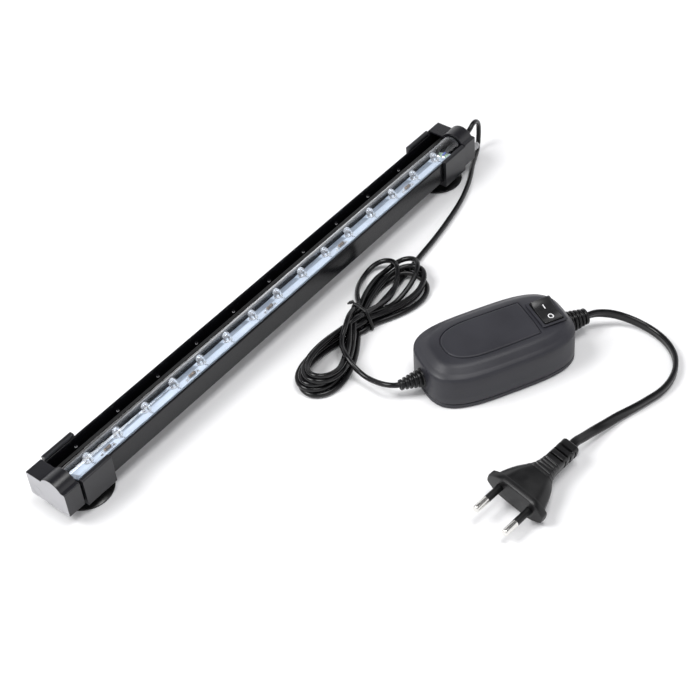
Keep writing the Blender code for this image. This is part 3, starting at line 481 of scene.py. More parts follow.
# heading, reach, half width and sharpness of each loop; the first lies lowest
UPPER = [
    (-5, 46.3, 14, 1.2), (-3, 49.5, 13.2, 1.2), (-1, 49, 12.4, 1.2), (4, 52.5, 12, 1.15), (22, 47.5, 12, 0.95)
]
LOWER = [
    (188, 58.5, 17.5, 1.0), (189, 58.5, 17, 1.05), (190.5, 57.5, 16, 1.1), (192, 56, 15, 1.2),
    (194, 54.5, 14.8, 1.35)
]
WAIST_RIGHT = [-49.6, -46.5, -48.0, -44.9, -46.4]
WAIST_LEFT = [-43.4, -40.3, -37.2, -41.9, -38.8, -40.4]


def teardrop(start, end, heading, reach, width, sharpness, steps=24):
    """A loop that leaves the waist at start, turns round at its reach, and returns to end."""
    heading = math.radians(heading)
    along = Vector((math.cos(heading), math.sin(heading)))
    across = Vector((-along.y, along.x))
    points = []
    for i in range(1, steps):
        t, s = math.tau * i / steps, i / steps
        share = s * s * (3 - 2 * s)
        base = Vector(start) * (1 - share) + Vector(end) * share
        out = reach * (1 - math.cos(t)) / 2
        side = width * math.sin(t) * abs(math.sin(t / 2)) ** sharpness
        points.append((*(base + along * out + across * side), REST_Z))
    return points


def hank_route():
    """The lamp cord in pieces: the run, ten loops and the tail, before it's laid."""
    pieces = [RUN + [(WAIST_X, WAIST_LEFT[0], REST_Z)]]
    for k in range(5):
        left, right, after = WAIST_LEFT[k], WAIST_RIGHT[k], WAIST_LEFT[k + 1]
        heading, reach, width, sharpness = LOWER[k]
        loop = teardrop((WAIST_LEFT_X, left), (WAIST_LEFT_X, right), heading, reach, width, sharpness)
        pieces.append(
            [(WAIST_LEFT_X, left, REST_Z), *loop, (WAIST_LEFT_X, right, REST_Z), (WAIST_X, right, REST_Z)]
        )
        heading, reach, width, sharpness = UPPER[k]
        loop = teardrop((WAIST_RIGHT_X, right), (WAIST_RIGHT_X, after), heading, reach, -width, sharpness)
        pieces.append(
            [(WAIST_RIGHT_X, right, REST_Z), *loop, (WAIST_RIGHT_X, after, REST_Z), (WAIST_X, after, REST_Z)]
        )
    over = [(14, -42.6, 1.6), (4.5, -46.7, 1.6), (-3.3, -49.9, 1.6), (-10.7, -59.8, 1.6), (-12.8, -65.8, 1.6)]
    pieces.append(over + TAIL)
    return pieces


def laid(route):
    """Heights for a flat route, so that each stretch lies on what is under it."""
    knots, marks = [], []
    for part in route:
        knots += [Vector(p) for p in part]
        marks.append(len(knots) - 1)
    dense = curve_through(knots)
    line = respaced(dense, 1.0)
    for _ in range(4):
        flat = [p.to_2d() for p in line]
        for i in range(LOOP_END, len(line) - TAIL_END):
            line[i].xy = sum(flat[i - 2 : i + 3], Vector((0, 0))) / 5
    along = [0.0]
    for p, q in zip(dense, dense[1:]):
        along.append(along[-1] + (q - p).length)
    ends = [round(along[mark * SPLITS] / along[-1] * (len(line) - 1)) for mark in marks]
    cells, start, reach = {}, 0, CORD_GAP
    for end in ends:
        heights = []
        for i in range(start, end + 1):
            p = line[i]
            high = p.z if p.x < LAID_X else 0.0
            if abs(p.x - WAIST_X) < 3:
                high = max(high, WAIST_Z)
            column, row = math.floor(p.x / reach), math.floor(p.y / reach)
            for a in (-1, 0, 1):
                for b in (-1, 0, 1):
                    for j in cells.get((column + a, row + b), ()):
                        q = line[j]
                        away = math.hypot(p.x - q.x, p.y - q.y)
                        if i - j > FAR_ALONG and away < reach and q.z < 15:
                            high = max(high, q.z + math.sqrt(reach * reach - away * away))
            heights.append(high)
        if start:
            heights[0] = max(heights[0], line[start - 1].z - 0.2)
        for order in (range(1, len(heights)), range(len(heights) - 2, -1, -1)):
            step = -1 if order.step == 1 else 1
            for i in order:
                heights[i] = max(heights[i], heights[i + step] - 0.3)
        for _ in range(3):
            padded = [heights[0]] * 2 + heights + [heights[-1]] * 2
            heights = [sum(padded[i : i + 5]) / 5 for i in range(len(heights))]
        for i, high in zip(range(start, end + 1), heights):
            if line[i].x < FREE_X:
                line[i].z = max(high, line[i].z)
        for i in range(start, end + 1):
            key = (math.floor(line[i].x / reach), math.floor(line[i].y / reach))
            cells.setdefault(key, []).append(i)
        start = end + 1
    for _ in range(4):
        zs = [p.z for p in line]
        for i in range(2, len(line) - 2):
            if line[i].x < 168:
                line[i].z = sum(zs[i - 2 : i + 3]) / 5
    return line


TIE_OUT = 2.05  # from a strand's axis to the middle of the tie


def tie_ring(at, side, out):
    """A flat oval across the tie, on its axes."""
    angles = [math.tau * k / 14 for k in range(14)]
    return [at + side * (1.05 * math.cos(a)) + out * (0.5 * math.sin(a)) for a in angles]


def twist_tie(line):
    """Flat tie drawn tight round the waist's strands, its two ears twisted together."""
    strands = [p for p in line if abs(p.x - WAIST_X) < 1.2]
    shape, rings, top = Shape(), [], None
    for i in range(96):
        a = math.tau * i / 96
        out = Vector((0, math.cos(a), math.sin(a)))
        at = max(strands, key=lambda p: p.dot(out))
        at = Vector((WAIST_X, at.y, at.z)) + out * TIE_OUT
        at.z = max(at.z, 0.6)
        if top is None or at.y + at.z > top.y + top.z:
            top = at.copy()
        rings.append(tie_ring(at, Vector((1, 0, 0)), out))
    shape.loft(rings, loop=True)
    for reach in ((-2.4, 3.0, 0.4), (0.2, 3.6, -1.2)):
        tip = top + Vector(reach)
        middle = top + Vector(reach) * 0.45 + Vector((0.6, 0, 0.8))
        ear = smooth_route([tuple(top + Vector((0, -0.6, -0.3))), tuple(middle), tuple(tip)], 0.35)
        rings = []
        for i, at in enumerate(ear):
            ahead = ahead_at(ear, i)
            side = ahead.cross(Vector((0, 0, 1))).normalized()
            turned = Matrix.Rotation(i * 0.3, 3, ahead)
            rings.append(tie_ring(at, turned @ side, turned @ side.cross(ahead)))
        shape.loft(rings)
    return piece("tie", shape, BAR, RUBBER, "light_bar", ["twist_tie"], bevel=0.12)


def lamp_cord():
    line = laid(hank_route())
    tie = twist_tie(line)
    names = ["lamp_cord_run", "lamp_cord_hank", "lamp_cord_tail"]
    obj = wire("lamp_cord", line, CORD_D / 2, BAR, CORD, "light_bar", names)


MAINS = [
    (83.0, -145.7, 10.4), (86.4, -147.5, 10.4), (89.9, -149.3, 10.4), (95.2, -152.7, 10.0),
    (100.6, -158.4, 8.4),
    (104.6, -165.4, 6.2), (106.9, -174, 4.0), (106.4, -184, 2.8), (102.4, -194, 2.65),
    (95, -202.4, 2.65), (84, -207.6, 2.65), (71, -208.6, 2.65), (57, -205, 2.65), (41, -199.6, 3.0),
    (32, -197.4, 3.8), (23, -195.4, 5.2), (15, -194.2, 7.0), (9.5, -193.4, 8.4), (4.9, -193.3, 8.9),
    (1.0, -192.95, 8.9),
]
MAINS_WIDTH, MAINS_THICK = 5.2, 3.1


def two_core_section():
    """Half widths of a flat two-core cord: two rounds with a shallow groove between them."""
    core = MAINS_THICK / 2
    apart = MAINS_WIDTH / 2 - core
    points = []
    for i in range(32):
        a = math.tau * i / 32
        c, s = math.cos(a), math.sin(a)
        across = core * c + math.copysign(apart, c) * min(1, abs(c) * 2.6)
        groove = 0.32 * math.exp(-((across / 0.55) ** 2))
        points.append((across, s * core - math.copysign(groove, s) * min(1, abs(s) * 3)))
    return points


def mains_cord(plug_pieces):
    line = smooth_route(MAINS, 1.2)
    section, rings = two_core_section(), []
    total = len(line) - 1
    for i, at in enumerate(line):
        ahead = ahead_at(line, i)
        side = ahead.cross(Vector((0, 0, 1))).normalized()
        up = side.cross(ahead)
        flat = min(1, max(0, (i / total - 0.66) / 0.26))
        start = min(1, max(0, 1 - i / total / 0.12))
        turn = math.radians(90 * (1 - flat * flat * (3 - 2 * flat)) - 40 * start + 11 * flat)
        c, s = math.cos(turn), math.sin(turn)
        rings.append([at + side * (w * c - h * s) + up * (w * s + h * c) for w, h in section])
    shape = Shape().loft(rings)
    obj = piece("mains_lead", shape, BAR, CORD, "light_bar", ["mains_cord"], sharp=60)


# --------------------------------------------------------------- light bar

BAR_HALF, TUBE_HALF = 172, 171.5
LAMP_AXIS = (-4.2, 19.5)
AIR_HOLES, AIR_HOLE_START, AIR_HOLE_PITCH = 10, -147.5, 30.7
CLIP_X = 155


def housing():
    outline = fillet([
        (-12.9, 9.3, 0.6), (12.9, 9.3, 0.6), (12.9, 22.1, 0.55), (11.7, 22.1, 0.55), (11.7, 10.7, 0.3),
        (6.6, 10.7, 0.3), (6.6, 20.1, 0.5), (3.3, 20.1, 0.5), (3.3, 10.7, 0.3), (-11.5, 10.7, 0.3),
        (-11.5, 22.5, 0.45), (-12.9, 22.5, 0.45),
    ])
    shape = Shape()
    rings = [[(a, b, c) for a, b in outline] for c in (-BAR_HALF, BAR_HALF)]

    # the rib's top face takes the lighter grey, a painted reflection; the rest of the extrusion stays black
    def paint(ring, side):
        a, b = outline[side], outline[(side + 1) % len(outline)]
        middle = ((a[0] + b[0]) / 2, (a[1] + b[1]) / 2)
        return int(3.3 < middle[0] < 6.6 and middle[1] > 19.5)

    shape.loft(rings, paint, ALONG_X)
    for y in (-8.0, -4.0, 4.0, 8.0):
        shape.extrude(
            fillet([(y - 0.6, 9.35, 0), (y - 0.45, 9.0, 0.15), (y + 0.45, 9.0, 0.15), (y + 0.6, 9.35, 0)]),
            -144.6, 144.6
        )
    piece(
        "bar_housing", shape, BAR, [EXTRUDED, RIB_TOP_PAINTED_REFLECTION], "light_bar", ["housing"], bevel=0.2,
        weighted=True
    )


def air_duct():
    outline = fillet([(6.9, 11.0, 0.3), (11.4, 11.0, 0.3), (11.4, 18.8, 0.6), (6.9, 18.8, 0.6)])
    shape, holes = Shape().extrude(outline, -BAR_HALF, BAR_HALF), Shape()
    for i in range(AIR_HOLES):
        x = AIR_HOLE_START + AIR_HOLE_PITCH * i
        at = Matrix.Translation((x, 9.15, 0))
        # a raised bead round each air hole, painted light grey as a painted highlight for the glints on the
        # hole rims
        highlight_rim = [(0.5, 18.7), (0.5, 18.95), (0.56, 19.02), (0.64, 19.02), (0.72, 18.95), (0.75, 18.7)]
        shape.lathe(highlight_rim, 24, 1, at, loop=True)
        holes.lathe([(0, 17.0), (0.5, 17.0), (0.5, 20.0), (0, 20.0)], 24, 0, at)
    piece(
        "air_strip", shape, BAR, [EXTRUDED, NOZZLE_GREY_AND_HOLE_HIGHLIGHT], "light_bar", ["air_duct"], cut=holes,
        sharp=30, weighted=True
    )


def arched(half, bottom, top, radius, foot=0.5, shoulder=0.6, steps=20):
    """Outline in Y and Z of a box with an arch over the lamp tube, always as many points."""
    rise = math.asin((top - LAMP_AXIS[1]) / radius)
    foot_left = fillet([(half, bottom + 3, 0), (half, bottom, foot), (half - 3, bottom, 0)], False)[1:-1]
    shoulder_left = fillet([(half - 3, top, 0), (half, top, shoulder), (half, top - 3, 0)], False)[1:-1]
    points = list(reversed(foot_left)) + list(reversed(shoulder_left))
    points += arc(LAMP_AXIS, radius, rise, math.pi - rise, steps)
    points += [(-y, z) for y, z in shoulder_left] + [(-y, z) for y, z in foot_left]
    return points


def end_cap(name, side, node):
    """Cap shell with its pocket; the near one has a moulded ring, the far one three ribs."""
    outside = arched(14.2, 7.8, 23.8, 8.5)
    inside = arched(13.2, 9.0, 22.8, 7.4)
    face, mouth, floor = side * 177.0, side * 166.4, side * 175.4

    def shrunk(outline, by):
        centre = Vector((0, 15.5))
        out = []
        for y, z in outline:
            v = Vector((y, z)) - centre
            out.append(tuple(centre + v * (1 - by / v.length)))
        return out

    sections = [
        (shrunk(outside, 1.0), face), (shrunk(outside, 0.35), face),
        (shrunk(outside, 0.1), face - side * 0.1),
        (outside, face - side * 0.35), (outside, mouth + side * 0.25),
        (shrunk(outside, 0.12), mouth + side * 0.06),
        (shrunk(outside, 0.3), mouth), (inside, mouth), (inside, floor),
    ]
    rings = [[(y, z, x) for y, z in outline] for outline, x in sections]
    # ring 0 and the two ends take the second paint; on the near cap that is the lighter grey, painted light
    # on the end face
    shape = Shape().loft(rings, lambda ring, i: int(ring == 0), ALONG_X)
    if side < 0:
        at = facing(-1, (-177.0, 8.6, 13.0))
        # the moulded ring on the near end face takes the same lighter grey, painted light
        shape.lathe([(3.0, -0.2), (3.0, 0.08), (3.2, 0.14), (3.4, 0.08), (3.4, -0.2)], 40, 1, at, loop=True)
    else:
        for y in (4.0, 8.0, 12.0):
            shape.box((176.9, y - 1.2, 10.4), (177.25, y + 1.2, 20.6), 0)
    # near cap: end face painted lighter grey as painted light; far cap: all gloss black
    piece(
        name, shape, BAR, [GLOSS, END_FACE_PAINTED_LIGHT if side < 0 else GLOSS], "light_bar", [node],
        sharp=30, weighted=True
    )


def gland_and_nozzle():
    profile = fillet([
        (1.62, 5.5, 0.2), (2.45, 5.5, 0.4), (2.7, 3.9, 0), (3.0, 3.8, 0.1), (3.05, 3.2, 0.1), (2.85, 3.0, 0),
        (2.95, 2.3, 0),
        (3.3, 2.2, 0.1), (3.4, 1.6, 0.1), (3.1, 1.4, 0), (3.6, 1.1, 0.3), (3.6, 0.3, 0.1), (2.6, 0.3, 0),
        (2.6, -1.9, 0),
        (3.6, -1.9, 0.1), (3.4, -3.0, 0.1), (1.62, -3.0, 0),
    ])
    shape = Shape().lathe(profile, 48, 0, facing(1, (177, *LAMP_AXIS)), loop=True)
    piece("gland", shape, BAR, RUBBER, "light_bar", ["cord_gland"])
    profile = fillet([
        (1.1, 8, 0.1), (1.6, 8, 0.2), (2.2, 6.2, 0.15), (1.8, 6.0, 0.1), (2.2, 4.0, 0.15), (1.8, 3.8, 0.1),
        (1.8, 1.2, 0.2),
        (2.8, 1.2, 0.2), (2.8, 0.3, 0.1), (2.0, 0.3, 0), (2.0, -2.6, 0), (1.1, -2.6, 0),
    ])
    shape = Shape().lathe(profile, 48, 0, facing(1, (177, -10.6, 11.7)), loop=True)
    piece("air_inlet", shape, BAR, NOZZLE_GREY_AND_HOLE_HIGHLIGHT, "light_bar", ["air_nozzle"])


def bracket(name, x, body, node):
    half = [
        (15.2, 5.8, 0.7), (15.2, 24.3, 0.9), (12.3, 24.3, 0.6), (11.9, 23.1, 0.4), (11.9, 22.8, 0.2),
        (13.2, 22.8, 0.2),
        (13.2, 9.0, 0.3), (9.0, 9.0, 0.3), (9.0, 7.2, 0.3),
    ]
    outline = fillet(half + [(-y, z, r) for y, z, r in reversed(half)])
    shape = Shape().extrude(outline, x - 10.2, x + 10.2)
    hole = Shape().lathe([(0, 4.8), (2.3, 4.8), (2.3, 8.8), (0, 8.8)], 32, 0, Matrix.Translation((x, 0, 0)))
    piece(name, shape, BAR, GLOSS, body, [node], bevel=0.35, cut=hole, weighted=True)


def suction_cup(name, x, body, node):
    profile = fillet([
        (0, 9.0, 0), (2.4, 9.0, 0.6), (3.4, 8.2, 0.4), (3.4, 7.5, 0.2), (2.0, 7.5, 0.2), (2.0, 5.5, 0.3),
        (5.0, 5.5, 0.5),
        (5.4, 4.6, 0.8), (9.5, 3.3, 6), (13.0, 1.7, 6), (16.0, 0.8, 0.3), (16.0, 0, 0.3), (13.5, 0, 0.3),
        (9.0, 1.2, 4),
        (5.0, 2.2, 4), (0, 2.6, 0),
    ], False)
    shape = Shape().lathe(profile, 72, 0, Matrix.Translation((x, 0, 0)))
    piece(name, shape, BAR, CUP, body, [node], sharp=50)


def light_bar():
    housing()
    air_duct()
    end_cap("end_cap_near", -1, "near_end_cap")
    end_cap("end_cap_far", 1, "far_end_cap")
    gland_and_nozzle()
    bracket("clip_near", -CLIP_X, "near_clip", "near_bracket")
    bracket("clip_far", CLIP_X, "far_clip", "far_bracket")
    suction_cup("cup_near", -CLIP_X, "near_cup", "near_suction_cup")
    suction_cup("cup_far", CLIP_X, "far_cup", "far_suction_cup")


# -------------------------------------------------------------------- lamp


LEDS, LED_PITCH, RESISTORS = 15, 21.3, 5


def led_x(index):
    return -1.5 + (index - LEDS // 2) * LED_PITCH


def resistor_x(index):
    """Each resistor is halfway between the first two LEDs of its string of three."""
    return led_x(3 * index) + LED_PITCH / 2


def lamp_tube():
    half = TUBE_HALF
    profile = fillet([(6.1, half, 0.15), (7.0, half, 0.25), (7.0, -half, 0.25), (6.1, -half, 0.15)])
    shape = Shape().lathe(profile, 128, 0, TO_X, loop=True)
    obj = piece("tube", shape, LAMP, ACRYLIC, "lamp", ["lamp_tube"], sharp=50)
    obj.visible_shadow = False


def led_board():
    shape = Shape().box((-163.5, -5.2, -1.6), (157, 5.2, -0.4), 0)
    for i in range(LEDS - 1):
        # dark grey bands on the board's +Y side from one LED to the next
        x, low = led_x(i), 0.9 if i % 3 == 2 else 0.3
        shape.box((x + 2.6, low, -0.42), (x + 18.7, 5.1, -0.33), 1)
    shape.box((152.0, -4.6, -0.42), (156.5, 4.6, -0.31), 2)
    shape.box((-163.2, -4.9, -0.42), (-161.0, 4.9, -0.34), 1)
    piece("board", shape, LAMP, [BOARD, BOARD_DARK_BAND, MASK_GREEN], "lamp", ["led_board"], bevel=0.03)


def solder_and_leads():
    """Solder joints by each LED and wire, and the lead frames inside the LEDs."""
    joints = Shape()
    for i in range(LEDS):
        # two dark grey dots beside each LED take the second paint
        for y, size in ((-3.1, 0.5), (-4.5, 0.42)):
            at = Matrix.Translation((led_x(i) - 0.2, y, -0.36))
            joints.lathe([(0, 0.32), (size * 0.5, 0.27), (size * 0.9, 0.1), (size, 0), (0, 0)], 16, 1, at)
    for x, y in ((152.9, -2.4), (152.9, 2.2)):
        at = Matrix.Translation((x, y, -0.34))
        joints.lathe([(0, 1.0), (0.7, 0.85), (1.15, 0.4), (1.5, 0), (0, 0)], 24, 0, at)
    for i in range(RESISTORS):
        for end in (-4.4, 4.4):
            at = Matrix.Translation((resistor_x(i) + end, -3.3, -0.34))
            joints.lathe([(0, 0.9), (0.35, 0.8), (0.7, 0.25), (0.85, 0), (0, 0)], 20, 0, at)
    piece("solder_joints", joints, LAMP, [SOLDER, DARK_DOT], "lamp")
    leads = Shape()
    for i in range(LEDS):
        at = Matrix.Translation((led_x(i), 0, 0))
        leads.box((-0.25, -1.5, -0.1), (0.25, -1.0, 2.1), 0, at)
        leads.box((-0.45, -1.75, 2.1), (0.45, -0.55, 2.75), 0, at)
        leads.box((-0.25, 1.0, -0.1), (0.25, 1.5, 1.9), 0, at)
        cup = [(0, 2.5), (0.35, 2.5), (0.75, 3.0), (0.85, 2.95), (0.6, 1.9), (0, 1.9)]
        leads.lathe(cup, 20, 0, at @ Matrix.Translation((0, 0.45, 0)))
        leads.box((-0.3, 0.3, 1.7), (0.3, 1.55, 2.1), 0, at)
    piece("led_lead_frames", leads, LAMP, LEAD, "lamp", bevel=0.06)


def led_lenses():
    shape = Shape()
    dome = arc((0, 2.9), 2.3, math.pi / 2, 0, 12)
    dome[0] = (0, 5.2)
    flange = fillet([(2.3, 0.95, 0.12), (2.65, 0.85, 0.15), (2.65, 0.05, 0.1), (0, 0.0, 0)], False)
    for i in range(LEDS):
        shape.lathe([*dome, *flange], 40, 0, Matrix.Translation((led_x(i), 0, -0.1)))
    nodes = [f"led_{i + 1:02d}" for i in range(LEDS)]
    obj = piece("led_lenses", shape, LAMP, LENS, "lamp", nodes, sharp=50)
    obj.visible_shadow = False


def resistors():
    """Dropper resistors with rounded ends, colour bands and bent leads."""
    bands = ((-1.6, 2), (-0.8, 2), (-0.05, 1), (0.7, 2), (1.5, 2))
    shape = Shape()
    for i in range(RESISTORS):
        heights = [2.4 - 4.8 * k / 48 for k in range(49)]
        profile, colours = [(0, 2.4)], []
        for h in heights:
            bulge = 1.0 if abs(h) > 1.3 else 0.87
            end = math.sqrt(max(0.0, 1 - max(0, (abs(h) - 1.8) / 0.62) ** 2))
            profile.append((max(0.3, 0.95 * bulge * end), h))
            colours.append(next((c for at, c in bands if abs(h - at) < 0.2), 0))
        profile.append((0, -2.4))
        place = Matrix.Translation((resistor_x(i), -3.3, 0.85)) @ TO_X
        shape.lathe(profile, 24, lambda ring, side, c=colours: c[min(max(ring, 0), len(c) - 1)], place)
        for end in (-1, 1):
            line = smooth_route(
                [
                    (end * 2.2, 0, 0), (end * 3.4, 0, 0), (end * 4.1, 0, -0.15), (end * 4.4, 0, -0.6),
                    (end * 4.45, 0, -1.15)
                ], 0.25
            )
            rings = []
            for k, p in enumerate(line):
                ahead = ahead_at(line, k)
                up = Vector((0, 1, 0))
                side = ahead.cross(up)
                rings.append(
                    [
                        p + (side * math.cos(a) + up * math.sin(a)) * 0.27
                        for a in [math.tau * j / 12 for j in range(12)]
                    ]
                )
            shape.loft(rings, 3, Matrix.Translation((resistor_x(i), -3.3, 0.85)))
    nodes = [f"resistor_{i + 1}" for i in range(RESISTORS)]
    piece(
        "dropper_resistors", shape, LAMP, [TAN, BAND_BROWN, BAND_BLACK, SOLDER], "lamp", nodes
    )


def tube_plugs():
    for name, side, node, bore in (
        ("plug_near", -1, "near_tube_plug", 0.0), ("plug_far", 1, "far_tube_plug", 1.62)
    ):
        corners = [
            (bore, 1.9, 0.1 if bore else 0), (6.2, 1.9, 0.4), (6.8, 1.3, 0.3), (6.8, 0.3, 0.1),
            (5.8, 0.3, 0), (5.8, -1.2, 0),
            (6.05, -1.5, 0.1), (5.8, -1.9, 0), (5.8, -3.2, 0), (6.05, -3.5, 0.1), (5.8, -3.9, 0),
            (5.8, -5.5, 0.3), (5.3, -6.0, 0.2),
            (bore, -6.0, 0.1 if bore else 0),
        ]
        profile = fillet(corners, bool(bore))
        place = facing(side, (side * TUBE_HALF, 0, 0))
        shape = Shape().lathe(profile, 64, 0, place, loop=bool(bore))
        piece(name, shape, LAMP, RUBBER, "lamp", [node])


def lead_wires():
    blue = [
        (152.6, -2.4, 0.7), (155.5, -2.7, 1.0), (159, -2.4, 1.6), (162, -1.3, 1.3), (165.1, -0.7, 0.7),
        (167, -0.7, 0.5)
    ]
    black = [
        (152.6, 2.2, 0.7), (156, 2.2, 1.9), (159.5, 2.0, 2.5), (162.5, 1.3, 1.6), (165.1, 0.7, 0.4),
        (167, 0.7, 0.1)
    ]
    wire(
        "wire_to_board_blue", smooth_route(blue, 0.5), 0.6, LAMP, BLUE, "lamp",
        ["lead_wire_blue"], 4
    )
    sleeve = smooth_route([(155.6, -2.69, 1.02), *blue[2:]], 0.5)
    wire("wire_sleeve", sleeve, 0.78, LAMP, RUBBER, "lamp", [], 4)
    wire(
        "wire_to_board_black", smooth_route(black, 0.5), 0.6, LAMP, RUBBER, "lamp",
        ["lead_wire_black"], 4
    )


def lamp():
    lamp_tube()
    led_board()
    solder_and_leads()
    led_lenses()
    resistors()
    tube_plugs()
    lead_wires()


# ----------------------------------------------------------------- adapter

RING_POINTS = 128
ADAPTER_LENGTH, ADAPTER_HALF_WIDTH = 87.8, 25.0
RELIEF_X, OUTPUT_Z, MAINS_Z = 43.9, 9.4, 10.4
ROCKER_HALF, ROCKER_MIDDLE, ROCKER_TILT = 8.1, 2.2, math.radians(6.5)
ROCKER_END = ROCKER_MIDDLE + ROCKER_HALF * math.tan(ROCKER_TILT)


def superellipse(inset, end_inset, squareness=3.4):
    """The adapter's bowed plan outline, drawn in; its switch end may be drawn in differently."""
    half_u, half_v = (ADAPTER_LENGTH - inset - end_inset) / 2, ADAPTER_HALF_WIDTH - inset
    shift, power = (inset - end_inset) / 2, 2 / squareness
    out = []
    for i in range(RING_POINTS):
        a = math.tau * (i + 0.5) / RING_POINTS
        c, s = math.cos(a), math.sin(a)
        out.append(
            (math.copysign(half_u * abs(c) ** power, c) + shift, math.copysign(half_v * abs(s) ** power, s))
        )
    return out


def rings_at(levels):
    return [[(u, v, z) for u, v in superellipse(inset, end)] for z, inset, end in levels]


def between(levels):
    """The levels with more in between, on a smooth curve."""
    return [(p.x, p.y, p.z) for p in smooth_route(levels, 0.45)]


def label_outline(grow):
    """D-shaped raised panel: round at the output end, straight across beside the switch."""
    out = []
    for u, v in superellipse(10.4, 6.6):
        direction = Vector((u + 4.5, v)).normalized()
        low, high = 0.0, 60.0
        for _ in range(30):
            middle = (low + high) / 2
            x, y = direction * middle
            if x < -4:
                inside = abs((x + 4) / (22.0 + grow)) ** 2.5 + abs(y / (13.7 + grow)) ** 2.5 < 1
            else:
                inside = abs(y) < 13.7 + grow - 0.0006 * (x + 4) ** 2 and x < 26.2 + grow - 0.004 * y * y
            low, high = (middle, high) if inside else (low, middle)
        out.append((direction.x * low - 4.5, direction.y * low))
    return out


def adapter_cover():
    side = [
        (3.1, 0.35, 0.35), (3.3, 0.1, 0.1), (3.7, 0.0, 0.0), (8, 0.05, 0.05), (14, 0.12, 0.12),
        (18.0, 0.18, 0.18)
    ]
    shoulder = between(
        [(18.0, 0.18, 0.18), (19.4, 0.42, 0.38), (20.3, 1.05, 0.85), (21.0, 2.1, 1.55), (21.7, 3.4, 2.2)]
    )
    roof = between([(21.7, 3.4, 2.2), (22.9, 5.2, 3.1), (23.9, 6.8, 4.1), (24.45, 8.2, 5.1)])
    rings = rings_at(side[:-1] + shoulder + roof[1:])
    for grow, z in (
        (1.5, 24.72), (0.8, 24.80), (0.6, 24.74), (0.38, 24.3), (0.1, 24.3), (-0.1, 24.8), (-0.35, 25.12),
        (-0.65, 25.22), (-1.1, 25.25), (-4, 25.27)
    ):
        rings.append([(u, v, z) for u, v in label_outline(grow)])
    shape = Shape().loft(rings)
    inside = rings_at(
        [(0, 2.0, 2.0), (17.4, 2.2, 2.2), (19.0, 3.2, 3.0), (22.4, 8.2, 5.8), (22.9, 10.4, 7.6)]
    )
    cut = Shape().loft(inside)
    cut.box((24.5, -10.5, 18), (38.1, 9.5, 27))
    cut.lathe([(0, 0), (3.85, 0), (3.85, 9), (0, 9)], 32, 0, facing(-1, (-37.9, 0, OUTPUT_Z)))
    cut.lathe([(0, 0), (4.25, 0), (4.25, 9), (0, 9)], 32, 0, facing(1, (37.9, 0, MAINS_Z)))
    piece("cover", shape, ADAPTER, COVER, "light_bar", ["adapter_cover"], cut=cut, sharp=40)
    outline = [
        (0.02, 0.75, 0.75), (0.15, 0.3, 0.3), (0.5, 0.05, 0.05), (2.0, 0.0, 0.0), (2.5, 0.05, 0.05),
        (2.8, 0.35, 0.35)
    ]
    shape = Shape().loft(rings_at(outline))
    holes = Shape()
    for u, v in ((-33, 13), (-2, -15.5)):
        at = Matrix.Translation((u, v, 0))
        holes.lathe([(0, -1), (3.1, -1), (3.1, 1.7), (1.6, 1.7), (1.6, 4), (0, 4)], 32, 0, at)
    piece("base", shape, ADAPTER, COVER, "light_bar", ["adapter_base"], cut=holes)
    seam = rings_at([(2.6, 1.2, 1.2), (3.4, 1.2, 1.2)])
    piece("seam", Shape().loft(seam), ADAPTER, SEAM_DARK_AND_WELL_SHADE, "light_bar")


def strain_relief(name, node, z, side, bore, thick, thin):
    """Ribbed, tapering sleeve; each rib has rounded edges."""
    neck = 3.6 if bore < 2.5 else 4.0
    corners = [(bore, 13.0, 0)]
    for i in reversed(range(5)):
        radius = thick + (thin - thick) * i / 4
        low = 0.6 + i * 2.4
        corners += [
            (radius, low + 2.3, 0.45), (radius, low + 0.95, 0.45), (radius - 1.05, low + 0.85, 0.15),
            (radius - 1.05, low + 0.0, 0.15)
        ]
    corners[1] = (thin, 13.0, 0.5)
    corners += [
        (neck, 0.3, 0.1), (neck, -2.4, 0), (neck + 1.2, -2.4, 0.1), (neck + 1.2, -4.4, 0.1), (bore, -4.4, 0)
    ]
    place = facing(side, (side * RELIEF_X, 0, z))
    shape = Shape().lathe(fillet(corners), 48, 0, place, loop=True)
    flange = fillet(
        [(neck - 0.4, -0.3, 0), (neck + 1.9, -0.3, 0.2), (neck + 1.7, 0.75, 0.4), (neck - 0.4, 0.95, 0)]
    )
    shape.lathe(flange, 48, 0, place, loop=True)
    piece(name, shape, ADAPTER, RUBBER, "light_bar", [node])


PIVOT = ADAPTER @ Matrix.Translation((0.0313, -0.0005, 0.0242)) @ Matrix.Rotation(ROCKER_TILT, 4, "X")


def rocker_top(v):
    """Height of the rocker's dished top over its pivot."""
    share = abs(v) / ROCKER_HALF
    return ROCKER_MIDDLE + (
        ROCKER_END - ROCKER_MIDDLE
    ) * share - 0.32 * math.sin(math.pi * min(1, share)) ** 1.5


